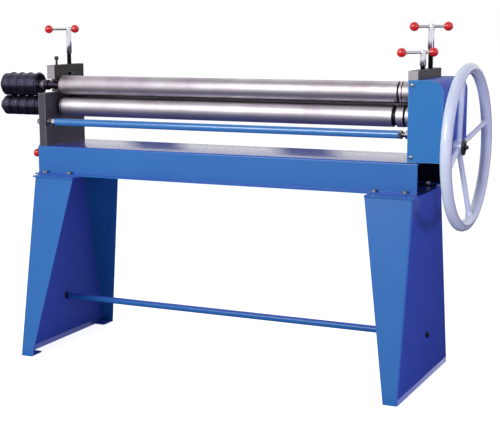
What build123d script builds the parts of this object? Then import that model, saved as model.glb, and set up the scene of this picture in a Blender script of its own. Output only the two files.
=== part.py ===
from build123d import *
import math
import os

os.makedirs("parts", exist_ok=True)

# Millimetres. X runs along the rolls, the operator stands on the -Y side, Z is up.
# The origin is on the floor, midway between the four foot tabs.

# ---- driving dimensions ----
stand_height = 680.0
leg_outer_x = 750.0
leg_top_half_depth = 169.0
leg_foot_half_depth = 303.0
leg_flange_top = 171.0
leg_flange_foot = 50.0
leg_sheet = 5.0
leg_top_sheet = 6.0
leg_top_overhang = 6.0
foot_tab_length = 65.0
anchor_hole_r = 6.5
anchor_inset_x = 32.0
anchor_inset_y = 35.0
anchor_x = leg_outer_x - anchor_inset_x
anchor_y = leg_foot_half_depth - anchor_inset_y
leg_rod_r = 12.5
leg_rod_y = 22.0
leg_rod_z = 168.0
rod_bolt_r = 6.0
rod_bolt_flats = 19.0
rod_bolt_head = 8.0
rod_bolt_reach = 30.0
rod_nut_flats = 27.0
rod_nut_t = 12.0
bolt_tip_gap = 2.0

beam_left = -773.0
beam_right = 742.0
beam_front_step = 63.0
beam_rear_step = 21.0
beam_front = beam_front_step - leg_top_half_depth
beam_rear = leg_top_half_depth + beam_rear_step
beam_height = 108.0
beam_top = stand_height + beam_height
beam_sheet = 5.0
beam_front_lip = 28.0
beam_rear_lip = 50.0
beam_bolt_insets = (38.0, 146.0)
beam_front_bolt_inset = 49.0
beam_rear_bolt_inset = 19.0
beam_front_bolt_y = beam_front_bolt_inset - leg_top_half_depth
beam_rear_bolt_y = leg_top_half_depth - beam_rear_bolt_inset
beam_bolt_r = 5.0
beam_bolt_flats = 17.0
beam_bolt_head = 8.0
beam_bolt_tail = 12.0
bolt_flange_r = 10.0
bolt_flange_t = 2.0

roll_y = 5.0
roll_r = 37.5
lower_roll_height = 146.0
roll_gap = 7.0
roll_spacing = 91.0
rear_roll_rise = 38.0
lower_z = beam_top + lower_roll_height
upper_z = lower_z + 2 * roll_r + roll_gap
rear_roll_y = roll_y + roll_spacing
rear_z = lower_z + rear_roll_rise
roll_left = -723.0
roll_shoulder = 692.0
journal_r = 15.5
running_fit = 0.05
roll_chamfer = 2.0
bead_shaft_r = 14.0
cone_r = 20.0
cone_length = 24.0
collar_length = 17.0

frame_t = 30.0
left_frame_x = -750.0
right_frame_x = 720.0
frame_rear = 174.0
frame_front_rise = 56.0
frame_height = 253.0
bar_height = 53.0
frame_front_top = lower_z + frame_front_rise
bar_bottom = beam_top + frame_height
bar_top = bar_bottom + bar_height
bar_t = 34.0
left_bar_front = -38.0
slide_gap = 0.4
bush_r = 23.0
wheel_bush_r = 18.0
frame_bolt_y = (-70.0, 25.0, 145.0)
frame_bolt_r = 6.0
frame_bolt_reach = 36.0

slot_w = 60.0
block_w = slot_w - 2 * slide_gap
cheek_w = 72.0
cheek_t = 3.0
rear_slot_depth = 72.0
rear_block_below = 34.0
rear_block_above = 80.0
rear_slot_bottom = rear_z - rear_slot_depth
rear_block_bottom = rear_z - rear_block_below
rear_block_top = rear_z + rear_block_above
notch_depth = 22.0
notch_gap = 2.0
column_front = 45.0
upper_slot_depth = 33.0
upper_block_below = 24.0
upper_block_above = 23.0
upper_slot_bottom = upper_z - upper_slot_depth
upper_block_bottom = upper_z - upper_block_below
upper_block_top = upper_z + upper_block_above
jaw_front = -12.0
ball_r = 20.5
ball_fit = 0.3
ball_bush_length = 24.0
swing_gap = 2.5

gear_module = 4.0
roll_gear_teeth = 20
drive_gear_teeth = 34
pinion_teeth = 15
gear_face = 24.0
roll_gear_x = 742.0
drive_gear_x = 776.0
wheel_z = lower_z - gear_module * (drive_gear_teeth + pinion_teeth) / 2

cover_left = 705.0
cover_right = 824.5
cover_rear = 202.0
cover_foot_gap = 2.5
cover_over_frame = 23.0
cover_bottom = beam_top + cover_foot_gap
cover_top = bar_bottom + cover_over_frame
cover_sheet = 2.0
cover_corner_r = 45.0
cover_gap = 1.0
cover_screw_x = 719.0
cover_screw_inset_low = 16.5
cover_screw_inset_high = 17.0
cover_screw_low = cover_bottom + cover_screw_inset_low
cover_screw_high = cover_top - cover_screw_inset_high
cover_screw_r = 4.0
cover_screw_length = 18.0
cover_screw_bore = 20.0
cover_screw_head_r = 7.0
cover_screw_head = 4.0

wheel_x = 880.0
wheel_ring_r = 264.5
wheel_tube_r = 19.0
wheel_turn = 15.0
wheel_shaft_r = 12.5
spoke_r = 9.0
hub_left = 836.0
hub_right = 866.0
hub_r = 25.0
cap_r = 28.0
cap_t = 6.0
shaft_tip_r = 7.0
shaft_right = 884.0

bead_width = 40.0
bead_gap = 0.2
bead_face = -827.0
bead_count = 4
ridge_from_face = 6.0
upper_bead_r = 43.0
ridge_r = 48.0
lower_bead_r = 37.5
groove_r = 32.5
bead_ramp = 2.0
ridge_half = 2.0
groove_half = 3.0
end_nut_flats = 41.0
end_nut_t = 18.0
end_thread = 24.0

stay_y = -85.0
stay_drop = 54.0
stay_z = lower_z - stay_drop
stay_r = 14.0
stay_rod_r = 9.0
stay_left = -702.0
stay_right = 671.0
stay_nut_flats = 27.0
stay_nut_t = 11.0
stay_rod_left = -783.0
stay_rod_right = 751.0

handle_bar_r = 5.0
handle_ball_r = 16.0
handle_span = 120.0
handle_post_r = 11.0
handle_bar_end = 6.0
post_rounding = 2.0
screw_r = 9.0
screw_clearance = 0.5
plain_screw_tip_r = 4.5
plain_head_rise = 19.0
plain_head_bottom = bar_top + plain_head_rise
plain_head_t = 14.0

latch_y = -30.0
latch_drop = 84.0
latch_z = lower_z - latch_drop
latch_pin_r = 10.0
latch_pin_reach = 18.0
latch_bore = 20.0
latch_hub_r = 18.0
latch_hub_t = 21.0
latch_hub_gap = 1.0
latch_rod_r = 5.0
latch_rod_inset = 14.0
latch_ball_x = -829.0
latch_ball_drop = 100.0
latch_ball = (latch_ball_x, latch_y, latch_z - latch_ball_drop)


def hex_prism(plane, flats, height):
    """A hexagonal head or nut standing on a plane."""
    with BuildPart() as prism:
        with BuildSketch(plane):
            RegularPolygon(flats / 2, 6, major_radius=False)
        extrude(amount=height)
    return prism.part


def cyl(plane, radius, height):
    """A round bar standing on a plane."""
    with BuildPart() as bar:
        with BuildSketch(plane):
            Circle(radius)
        extrude(amount=height)
    return bar.part


def x_plane(x, y, z):
    """A plane at a point, facing along +X, with its own x along world Y."""
    return Plane(origin=(x, y, z), x_dir=(0, 1, 0), z_dir=(1, 0, 0))


def z_plane(x, y, z):
    return Plane(origin=(x, y, z), x_dir=(1, 0, 0), z_dir=(0, 0, 1))


def front_plane(y):
    """A plane whose sketch x, y are world X, Z, and which faces the operator."""
    return Plane(origin=(0, y, 0), x_dir=(1, 0, 0), z_dir=(0, -1, 0))


def turned(points, y, z):
    """A turned piece about an axis along X, from its (x, radius) outline."""
    with BuildPart() as piece:
        with BuildSketch(Plane(origin=(0, y, z), x_dir=(1, 0, 0), z_dir=(0, -1, 0))):
            with BuildLine():
                Polyline(points, close=True)
            make_face()
        revolve(axis=Axis((0, y, z), (1, 0, 0)))
    return piece.part


def save(part, name):
    part.label = name
    export_step(part, "parts/" + name + ".step")


# ---- legs: folded sheet, open toward the middle ----
def leg_lean(height):
    """Half depth of a leg at a height."""
    share = height / stand_height
    return leg_foot_half_depth + (leg_top_half_depth - leg_foot_half_depth) * share


leg_sheet_top = stand_height - leg_top_sheet


def build_leg(side, name):
    inner_x = leg_outer_x - leg_sheet
    with BuildPart() as side_plate:
        with BuildSketch(x_plane(side * leg_outer_x, 0, 0)):
            with BuildLine():
                Polyline((-leg_foot_half_depth, 0), (leg_foot_half_depth, 0),
                         (leg_lean(leg_sheet_top), leg_sheet_top),
                         (-leg_lean(leg_sheet_top), leg_sheet_top), close=True)
            make_face()
        extrude(amount=-side * leg_sheet)
        # foot tabs folded in along the floor, each with an anchor hole
        tab_y = leg_lean(leg_sheet) - leg_sheet - foot_tab_length / 2
        tab_reach = leg_flange_foot - leg_sheet
        with BuildSketch(Plane.XY):
            with Locations((side * (inner_x - tab_reach / 2), tab_y),
                           (side * (inner_x - tab_reach / 2), -tab_y)):
                Rectangle(tab_reach, foot_tab_length)
        extrude(amount=leg_sheet)
        with BuildSketch(Plane.XY):
            with Locations((side * anchor_x, anchor_y), (side * anchor_x, -anchor_y)):
                Circle(anchor_hole_r)
        extrude(amount=leg_sheet, mode=Mode.SUBTRACT)
        with BuildSketch(x_plane(side * inner_x, leg_rod_y, leg_rod_z)):
            Circle(rod_bolt_r + running_fit)
        extrude(amount=side * leg_sheet, mode=Mode.SUBTRACT)
    save(side_plate.part, name + "_side")

    for end, flange in ((-1, "front"), (1, "rear")):
        with BuildPart() as piece:
            with BuildSketch(x_plane(side * inner_x, 0, 0)):
                with BuildLine():
                    Polyline((end * leg_foot_half_depth, 0),
                             (end * leg_lean(leg_sheet_top), leg_sheet_top),
                             (end * (leg_lean(leg_sheet_top) - leg_sheet), leg_sheet_top),
                             (end * (leg_foot_half_depth - leg_sheet), 0), close=True)
                make_face()
            extrude(amount=-side * (leg_flange_top - leg_sheet))
            with BuildSketch(Plane.XZ):
                with BuildLine():
                    Polyline((side * inner_x, 0), (side * (leg_outer_x - leg_flange_foot), 0),
                             (side * (leg_outer_x - leg_flange_top), leg_sheet_top),
                             (side * inner_x, leg_sheet_top), close=True)
                make_face()
            extrude(amount=2 * leg_foot_half_depth, both=True, mode=Mode.INTERSECT)
        save(piece.part, name + "_" + flange + "_flange")

    plate_in = leg_outer_x - leg_flange_top
    plate_out = leg_outer_x + leg_top_overhang
    with BuildPart() as top_plate:
        with BuildSketch(z_plane(side * (plate_in + plate_out) / 2, 0, leg_sheet_top)):
            Rectangle(plate_out - plate_in, 2 * (leg_top_half_depth + leg_top_overhang))
        extrude(amount=leg_top_sheet)
        for x in beam_bolt_x:
            if x * side > 0:
                with BuildSketch(z_plane(x, 0, leg_sheet_top)):
                    with Locations((0, beam_front_bolt_y), (0, beam_rear_bolt_y)):
                        Circle(beam_bolt_r + running_fit)
                extrude(amount=leg_top_sheet, mode=Mode.SUBTRACT)
    save(top_plate.part, name + "_top")


beam_bolt_x = ([beam_left + inset for inset in beam_bolt_insets]
               + [beam_right - inset for inset in beam_bolt_insets])
beam_bolt_spots = [(x, y) for x in beam_bolt_x for y in (beam_front_bolt_y, beam_rear_bolt_y)]

build_leg(-1, "left_leg")
build_leg(1, "right_leg")

# round rod between the legs, with a bolt into each end and a nut against each leg
rod_end = leg_outer_x - leg_sheet - rod_nut_t
with BuildPart() as leg_rod:
    with BuildSketch(x_plane(-rod_end, leg_rod_y, leg_rod_z)):
        Circle(leg_rod_r)
    extrude(amount=2 * rod_end)
    for end in (-1, 1):
        with BuildSketch(x_plane(end * rod_end, leg_rod_y, leg_rod_z)):
            Circle(rod_bolt_r)
        extrude(amount=-end * rod_bolt_reach, mode=Mode.SUBTRACT)
save(leg_rod.part, "leg_rod")

with BuildPart() as leg_rod_bolts:
    for end in (-1, 1):
        head = x_plane(end * leg_outer_x, leg_rod_y, leg_rod_z)
        add(hex_prism(head, rod_bolt_flats, end * rod_bolt_head))
        with BuildSketch(head):
            Circle(rod_bolt_r)
        extrude(amount=-end * (leg_sheet + rod_nut_t + rod_bolt_reach - bolt_tip_gap))
        with BuildSketch(x_plane(end * rod_end, leg_rod_y, leg_rod_z)):
            RegularPolygon(rod_nut_flats / 2, 6, major_radius=False)
            Circle(rod_bolt_r + running_fit, mode=Mode.SUBTRACT)
        extrude(amount=end * rod_nut_t)
save(leg_rod_bolts.part, "leg_rod_bolts")

# ---- beam: front rail, bench top and rear rail of one folded channel ----
beam_length = beam_right - beam_left


def beam_piece(outline, lip_bolt_y):
    with BuildPart() as piece:
        with BuildSketch(x_plane(beam_left, 0, 0)):
            with BuildLine():
                Polyline(outline, close=True)
            make_face()
        extrude(amount=beam_length)
        if lip_bolt_y is not None:
            with BuildSketch(z_plane(0, lip_bolt_y, stand_height)):
                with Locations([(x, 0) for x in beam_bolt_x]):
                    Circle(beam_bolt_r + running_fit)
            extrude(amount=beam_sheet, mode=Mode.SUBTRACT)
    return piece.part


lip_top = stand_height + beam_sheet
front_inner = beam_front + beam_sheet
rear_inner = beam_rear - beam_sheet
save(beam_piece([(beam_front - beam_front_lip, stand_height), (front_inner, stand_height),
                 (front_inner, beam_top), (beam_front, beam_top),
                 (beam_front, lip_top), (beam_front - beam_front_lip, lip_top)],
                beam_front_bolt_y), "beam_front_rail")
save(beam_piece([(rear_inner - beam_rear_lip, stand_height), (beam_rear, stand_height),
                 (beam_rear, beam_top), (rear_inner, beam_top),
                 (rear_inner, lip_top), (rear_inner - beam_rear_lip, lip_top)],
                beam_rear_bolt_y), "beam_rear_rail")

frame_bolt_spots = [(x, y) for x in (left_frame_x, right_frame_x) for y in frame_bolt_y]
with BuildPart() as bench_top:
    with BuildSketch(z_plane((beam_left + beam_right) / 2, (front_inner + rear_inner) / 2,
                             beam_top - beam_sheet)):
        Rectangle(beam_length, rear_inner - front_inner)
    extrude(amount=beam_sheet)
    with BuildSketch(z_plane(0, 0, beam_top - beam_sheet)):
        with Locations(frame_bolt_spots):
            Circle(frame_bolt_r + running_fit)
    extrude(amount=beam_sheet, mode=Mode.SUBTRACT)
save(bench_top.part, "bench_top")

# hexagon bolts with their round flanges, through the beam's lips and the leg tops
with BuildPart() as beam_bolts:
    for x, y in beam_bolt_spots:
        add(cyl(z_plane(x, y, lip_top), bolt_flange_r, bolt_flange_t))
        add(hex_prism(z_plane(x, y, lip_top + bolt_flange_t), beam_bolt_flats, beam_bolt_head))
        bolt_end = leg_sheet_top - beam_bolt_tail
        add(cyl(z_plane(x, y, bolt_end), beam_bolt_r, lip_top - bolt_end))
save(beam_bolts.part, "beam_bolts")

with BuildPart() as beam_nuts:
    for x, y in beam_bolt_spots:
        add(hex_prism(z_plane(x, y, leg_sheet_top), beam_bolt_flats, -beam_bolt_head))
        with BuildSketch(z_plane(x, y, leg_sheet_top)):
            Circle(beam_bolt_r)
        extrude(amount=-beam_bolt_head, mode=Mode.SUBTRACT)
save(beam_nuts.part, "beam_nuts")

with BuildPart() as frame_bolts:
    for x, y in frame_bolt_spots:
        under = beam_top - beam_sheet
        add(hex_prism(z_plane(x, y, under), rod_bolt_flats, -rod_bolt_head))
        add(cyl(z_plane(x, y, under), frame_bolt_r,
                beam_sheet + frame_bolt_reach - bolt_tip_gap))
save(frame_bolts.part, "frame_bolts")

# ---- end frames ----
slot_front = rear_roll_y - slot_w / 2
slot_rear = rear_roll_y + slot_w / 2
frame_foot = beam_top
right_frame_front = beam_front + cover_sheet


def frame_holes(x):
    """The bores that both end frames share, as one cutting shape."""
    with BuildPart() as bores:
        with BuildSketch(x_plane(x - frame_t / 2, 0, 0)):
            with Locations((roll_y, lower_z)):
                Circle(bush_r)
            with Locations((stay_y, stay_z)):
                Circle(stay_rod_r + running_fit)
        extrude(amount=frame_t)
        with BuildSketch(z_plane(0, 0, frame_foot)):
            with Locations([(x, y) for y in frame_bolt_y]):
                Circle(frame_bolt_r)
        extrude(amount=frame_bolt_reach)
    return bores.part


def cover_screw_hole(z):
    """Bore for a screw that holds the front of the gear cover."""
    entry = Plane(origin=(cover_screw_x, right_frame_front, z), x_dir=(1, 0, 0), z_dir=(0, 1, 0))
    return cyl(entry, cover_screw_r, cover_screw_bore)


# left frame: open at the front above the lower roll, so the upper roll can swing out
with BuildPart() as left_end_frame:
    with BuildSketch(x_plane(left_frame_x - frame_t / 2, 0, 0)):
        with BuildLine():
            Polyline((beam_front, frame_foot), (frame_rear, frame_foot), (frame_rear, bar_bottom),
                     (slot_rear, bar_bottom), (slot_rear, rear_slot_bottom),
                     (slot_front, rear_slot_bottom), (slot_front, bar_bottom),
                     (column_front, bar_bottom), (column_front, frame_front_top),
                     (beam_front, frame_front_top), close=True)
        make_face()
    extrude(amount=frame_t)
    add(frame_holes(left_frame_x), mode=Mode.SUBTRACT)
    with BuildSketch(x_plane(left_frame_x - frame_t / 2, latch_y, latch_z)):
        Circle(latch_pin_r + running_fit)
    extrude(amount=latch_bore, mode=Mode.SUBTRACT)
save(left_end_frame.part, "left_end_frame")

# right frame: closed at the front, with a slot for each adjustable bearing
with BuildPart() as right_end_frame:
    with BuildSketch(x_plane(right_frame_x - frame_t / 2, 0, 0)):
        with BuildLine():
            Polyline((right_frame_front, frame_foot), (frame_rear, frame_foot),
                     (frame_rear, bar_bottom),
                     (slot_rear, bar_bottom), (slot_rear, rear_slot_bottom),
                     (slot_front, rear_slot_bottom), (slot_front, bar_bottom),
                     (roll_y + slot_w / 2, bar_bottom),
                     (roll_y + slot_w / 2, upper_slot_bottom),
                     (roll_y - slot_w / 2, upper_slot_bottom),
                     (roll_y - slot_w / 2, bar_bottom),
                     (right_frame_front, bar_bottom), close=True)
        make_face()
    extrude(amount=frame_t)
    add(frame_holes(right_frame_x), mode=Mode.SUBTRACT)
    with BuildSketch(x_plane(right_frame_x - frame_t / 2, roll_y, wheel_z)):
        Circle(wheel_bush_r)
    extrude(amount=frame_t, mode=Mode.SUBTRACT)
    add(cover_screw_hole(cover_screw_low), mode=Mode.SUBTRACT)
save(right_end_frame.part, "right_end_frame")


def build_bar(x, front):
    """Bar across an end frame: it carries the adjusting screws."""
    with BuildPart() as bar:
        with BuildSketch(z_plane(x, (front + frame_rear) / 2, bar_bottom)):
            Rectangle(bar_t, frame_rear - front)
        extrude(amount=bar_top - bar_bottom)
        with BuildSketch(z_plane(x, rear_roll_y, bar_bottom)):
            Rectangle(bar_t, cheek_w + 2 * notch_gap)
        extrude(amount=notch_depth, mode=Mode.SUBTRACT)
        with BuildSketch(z_plane(x, 0, bar_bottom)):
            with Locations((0, rear_roll_y), (0, roll_y)):
                Circle(screw_r + screw_clearance)
        extrude(amount=bar_top - bar_bottom, mode=Mode.SUBTRACT)
    return bar.part


save(build_bar(left_frame_x, left_bar_front), "left_top_bar")

with BuildPart() as right_top_bar:
    add(build_bar(right_frame_x, right_frame_front))
    add(cover_screw_hole(cover_screw_high), mode=Mode.SUBTRACT)
save(right_top_bar.part, "right_top_bar")

with BuildPart() as frame_bushes:
    for x in (left_frame_x, right_frame_x):
        with BuildSketch(x_plane(x - frame_t / 2, roll_y, lower_z)):
            Circle(bush_r)
            Circle(journal_r + running_fit, mode=Mode.SUBTRACT)
        extrude(amount=frame_t)
    with BuildSketch(x_plane(right_frame_x - frame_t / 2, roll_y, wheel_z)):
        Circle(wheel_bush_r)
        Circle(wheel_shaft_r + running_fit, mode=Mode.SUBTRACT)
    extrude(amount=frame_t)
save(frame_bushes.part, "frame_bushes")

# ---- stay between the frames ----
left_inner = left_frame_x + frame_t / 2
left_outer = left_frame_x - frame_t / 2
right_inner = right_frame_x - frame_t / 2
right_outer = right_frame_x + frame_t / 2
with BuildPart() as stay_tube:
    with BuildSketch(x_plane(stay_left, stay_y, stay_z)):
        Circle(stay_r)
        Circle(stay_rod_r + running_fit, mode=Mode.SUBTRACT)
    extrude(amount=stay_right - stay_left)
save(stay_tube.part, "stay_tube")

with BuildPart() as stay_rod:
    with BuildSketch(x_plane(stay_rod_left, stay_y, stay_z)):
        Circle(stay_rod_r)
    extrude(amount=stay_rod_right - stay_rod_left)
save(stay_rod.part, "stay_rod")

with BuildPart() as stay_nuts:
    for x in (left_outer - stay_nut_t, left_inner, stay_left - stay_nut_t,
              stay_right, right_inner - stay_nut_t, right_outer):
        add(hex_prism(x_plane(x, stay_y, stay_z), stay_nut_flats, stay_nut_t))
    with BuildSketch(x_plane(stay_rod_left, stay_y, stay_z)):
        Circle(stay_rod_r)
    extrude(amount=stay_rod_right - stay_rod_left, mode=Mode.SUBTRACT)
save(stay_nuts.part, "stay_nuts")

# ---- gear cover ----
with BuildPart() as gear_cover:
    with BuildSketch(front_plane(beam_front)):
        with BuildLine():
            Polyline((cover_left, cover_top), (cover_left, cover_bottom),
                     (cover_right, cover_bottom), (cover_right, cover_top - cover_corner_r))
            RadiusArc((cover_right, cover_top - cover_corner_r),
                      (cover_right - cover_corner_r, cover_top), -cover_corner_r)
            Line((cover_right - cover_corner_r, cover_top), (cover_left, cover_top))
        make_face()
    extrude(amount=-(cover_rear - beam_front))
    cover_in = cover_right - cover_sheet
    inner_r = cover_corner_r - cover_sheet
    with BuildSketch(front_plane(beam_front + cover_sheet)):
        with BuildLine():
            Polyline((cover_left, cover_top - cover_sheet), (cover_left, cover_bottom),
                     (cover_in, cover_bottom), (cover_in, cover_top - cover_corner_r))
            RadiusArc((cover_in, cover_top - cover_corner_r),
                      (cover_right - cover_corner_r, cover_top - cover_sheet), -inner_r)
            Line((cover_right - cover_corner_r, cover_top - cover_sheet),
                 (cover_left, cover_top - cover_sheet))
        make_face()
    extrude(amount=-(cover_rear - beam_front - 2 * cover_sheet), mode=Mode.SUBTRACT)
    # the top and the back stop short of the frame and its bar
    cut_right = right_frame_x + bar_t / 2 + cover_gap
    with BuildSketch(z_plane((cover_left + cut_right) / 2,
                             (right_frame_front + cover_rear) / 2, cover_bottom)):
        Rectangle(cut_right - cover_left, cover_rear - right_frame_front)
    extrude(amount=cover_top - cover_bottom, mode=Mode.SUBTRACT)
    with BuildSketch(x_plane(cover_in, roll_y, wheel_z)):
        Circle(wheel_shaft_r + cover_gap)
    extrude(amount=cover_sheet, mode=Mode.SUBTRACT)
    for z in (cover_screw_low, cover_screw_high):
        with BuildSketch(front_plane(beam_front)):
            with Locations((cover_screw_x, z)):
                Circle(cover_screw_r)
        extrude(amount=-cover_sheet, mode=Mode.SUBTRACT)
save(gear_cover.part, "gear_cover")

with BuildPart() as cover_screws:
    for z in (cover_screw_low, cover_screw_high):
        face = Plane(origin=(cover_screw_x, beam_front, z), x_dir=(1, 0, 0), z_dir=(0, -1, 0))
        with BuildSketch(face):
            Circle(cover_screw_head_r)
        extrude(amount=cover_screw_head)
        with BuildSketch(face):
            Circle(cover_screw_r)
        extrude(amount=-cover_screw_length)
save(cover_screws.part, "cover_screws")

# ---- rolls ----
shaft_left = bead_face - bead_count * (bead_width + bead_gap) - end_thread
bead_shoulder = left_outer - 3.0
spacer_right = left_outer - 3.5


def body_outline(first_x, grooves):
    """Outline of a roll's body from its left journal to its right one."""
    points = [(first_x, journal_r), (roll_left, journal_r)]
    points += [(roll_left, roll_r - roll_chamfer), (roll_left + roll_chamfer, roll_r)]
    for start, end, radius in grooves:
        points += [(start, roll_r), (start, radius), (end, radius), (end, roll_r)]
    return points + [(roll_shoulder, roll_r), (roll_shoulder, journal_r)]


# wiring grooves of the lower roll: left edge, right edge, radius at the bottom
lower_grooves = ((-716.0, -713.5, 35.5), (624.0, 638.0, 30.5), (664.0, 671.0, 31.5))
lower_shaft_right = drive_gear_x + gear_face + 6.0
save(turned([(shaft_left, 0), (shaft_left, bead_shaft_r), (bead_shoulder, bead_shaft_r)]
            + body_outline(bead_shoulder, lower_grooves)
            + [(lower_shaft_right, journal_r), (lower_shaft_right, 0)],
            roll_y, lower_z), "lower_roll")

# the upper roll has a cone and a collar between its bead rolls and its journal
upper_grooves = ((641.0, 647.0, 34.0), (656.0, 658.5, 33.0))
upper_shaft_right = roll_gear_x + gear_face + 2.0
collar_left = bead_face + cone_length
collar_right = collar_left + collar_length
save(turned([(shaft_left, 0), (shaft_left, bead_shaft_r), (bead_face, bead_shaft_r),
             (collar_left, cone_r), (collar_right, cone_r)]
            + body_outline(collar_right, upper_grooves)
            + [(upper_shaft_right, journal_r), (upper_shaft_right, 0)],
            roll_y, upper_z), "upper_roll")

rear_shaft_end = cheek_t + 1.0
save(turned([(left_outer - rear_shaft_end, 0)]
            + body_outline(left_outer - rear_shaft_end, ())
            + [(right_outer + rear_shaft_end, journal_r), (right_outer + rear_shaft_end, 0)],
            rear_roll_y, rear_z), "rear_roll")


def bead_outline(index, plain_r, bead_r, bead_half):
    """One forming roll: a plain rim with a ridge or a groove near its right face."""
    right = bead_face - index * (bead_width + bead_gap)
    left = right - bead_width
    middle = right - ridge_from_face
    return [(left, bead_shaft_r), (left, plain_r),
            (middle - bead_half - bead_ramp, plain_r), (middle - bead_half, bead_r),
            (middle + bead_half, bead_r), (middle + bead_half + bead_ramp, plain_r),
            (right, plain_r), (right, bead_shaft_r)]


with BuildPart() as upper_bead_rolls:
    for index in range(bead_count):
        add(turned(bead_outline(index, upper_bead_r, ridge_r, ridge_half), roll_y, upper_z))
save(upper_bead_rolls.part, "upper_bead_rolls")

with BuildPart() as lower_bead_rolls:
    for index in range(bead_count):
        add(turned(bead_outline(index, lower_bead_r, groove_r, groove_half), roll_y, lower_z))
    add(turned([(bead_face + bead_gap, bead_shaft_r), (bead_face + bead_gap, lower_bead_r),
                (spacer_right, lower_bead_r), (spacer_right, bead_shaft_r)], roll_y, lower_z))
save(lower_bead_rolls.part, "lower_bead_rolls")

end_nut_x = bead_face - bead_count * (bead_width + bead_gap)
for name, z in (("upper_end_nut", upper_z), ("lower_end_nut", lower_z)):
    with BuildPart() as end_nut:
        with BuildSketch(x_plane(end_nut_x, roll_y, z)):
            RegularPolygon(end_nut_flats / 2, 6, major_radius=False)
            Circle(bead_shaft_r, mode=Mode.SUBTRACT)
        extrude(amount=-end_nut_t)
    save(end_nut.part, name)


# ---- gears ----
def involute(angle):
    return math.tan(angle) - angle


def gear_points(teeth, first_tooth, addendum, thinning):
    """Corners of a spur gear's outline, its first tooth at an angle in degrees."""
    pitch_r = gear_module * teeth / 2
    pressure = math.radians(20.0)
    base_r = pitch_r * math.cos(pressure)
    root_r = pitch_r - 1.25 * gear_module
    tip_r = pitch_r + addendum
    half_tooth = (math.pi * gear_module / 2 - thinning) / (2 * pitch_r) + involute(pressure)
    start_r = max(base_r, root_r)
    radii = [start_r + (tip_r - start_r) * step / 3 for step in range(4)]
    flank = [(root_r, half_tooth)] if root_r < base_r - 0.2 else []
    flank += [(r, half_tooth - involute(math.acos(min(1.0, base_r / r)))) for r in radii]
    points = []
    for tooth in range(teeth):
        centre = math.radians(first_tooth) + 2 * math.pi * tooth / teeth
        for r, half in flank:
            points.append((r * math.cos(centre - half), r * math.sin(centre - half)))
        for r, half in reversed(flank):
            points.append((r * math.cos(centre + half), r * math.sin(centre + half)))
    return points


def gear(name, teeth, first_tooth, addendum, thinning, x, z, bore_r):
    with BuildPart() as wheel:
        with BuildSketch(x_plane(x, roll_y, z)):
            with BuildLine():
                Polyline(gear_points(teeth, first_tooth, addendum, thinning), close=True)
            make_face()
            Circle(bore_r, mode=Mode.SUBTRACT)
        extrude(amount=gear_face)
    save(wheel.part, name)


full_tooth = gear_module
stub_tooth = 0.8 * gear_module
gear("lower_roll_gear", roll_gear_teeth, 90.0, full_tooth, 0.8,
     roll_gear_x, lower_z, journal_r)
gear("upper_roll_gear", roll_gear_teeth, 270.0 + 180.0 / roll_gear_teeth, full_tooth, 0.8,
     roll_gear_x, upper_z, journal_r)
gear("drive_gear", drive_gear_teeth, 270.0, stub_tooth, 0.3,
     drive_gear_x, lower_z, journal_r)
gear("handwheel_pinion", pinion_teeth, 90.0 + 180.0 / pinion_teeth, stub_tooth, 0.3,
     drive_gear_x, wheel_z, wheel_shaft_r)

# ---- bearings of the adjustable rolls ----
with BuildPart() as upper_left_jaw:
    jaw_rear = column_front - slide_gap
    with BuildSketch(z_plane(left_frame_x, (jaw_front + jaw_rear) / 2, upper_block_bottom)):
        Rectangle(frame_t + 2 * slide_gap, jaw_rear - jaw_front)
    extrude(amount=upper_block_top - upper_block_bottom)
    # cheeks on both sides of the frame's column
    cheek_rear = rear_roll_y - cheek_w / 2 - notch_gap
    for end in (-1, 1):
        cheek_x = left_frame_x + end * (frame_t / 2 + slide_gap + cheek_t / 2)
        with BuildSketch(z_plane(cheek_x, (roll_y + cheek_rear) / 2, upper_block_bottom)):
            Rectangle(cheek_t, cheek_rear - roll_y)
        extrude(amount=upper_block_top - upper_block_bottom)
    # the journal lies in a slot that is open at the front
    mouth = roll_y - jaw_front
    with BuildSketch(x_plane(left_frame_x - frame_t, roll_y, upper_z)):
        Circle(journal_r + running_fit)
        with Locations((-mouth / 2, 0)):
            Rectangle(mouth, 2 * (journal_r + running_fit))
    extrude(amount=2 * frame_t, mode=Mode.SUBTRACT)
save(upper_left_jaw.part, "upper_left_jaw")

with BuildPart() as upper_right_block:
    with BuildSketch(z_plane(right_frame_x, roll_y, upper_block_bottom)):
        Rectangle(frame_t + 2 * slide_gap, block_w)
    extrude(amount=upper_block_top - upper_block_bottom)
    for end in (-1, 1):
        cheek_x = right_frame_x + end * (frame_t / 2 + slide_gap + cheek_t / 2)
        with BuildSketch(z_plane(cheek_x, roll_y, upper_block_bottom)):
            Rectangle(cheek_t, cheek_w)
        extrude(amount=upper_block_top - upper_block_bottom)
    with Locations((right_frame_x, roll_y, upper_z)):
        Sphere(ball_r + ball_fit, mode=Mode.SUBTRACT)
    with BuildSketch(x_plane(right_frame_x - frame_t, roll_y, upper_z)):
        Circle(journal_r + swing_gap)
    extrude(amount=2 * frame_t, mode=Mode.SUBTRACT)
save(upper_right_block.part, "upper_right_block")

# ball-shaped bush: lets the upper roll swing out at its other end
with BuildPart() as upper_ball_bush:
    with Locations((right_frame_x, roll_y, upper_z)):
        Sphere(ball_r)
    with BuildSketch(x_plane(right_frame_x - ball_bush_length / 2, roll_y, upper_z)):
        Circle(ball_r)
    extrude(amount=ball_bush_length, mode=Mode.INTERSECT)
    with BuildSketch(x_plane(right_frame_x - frame_t, roll_y, upper_z)):
        Circle(journal_r + running_fit)
    extrude(amount=2 * frame_t, mode=Mode.SUBTRACT)
save(upper_ball_bush.part, "upper_ball_bush")

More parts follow.
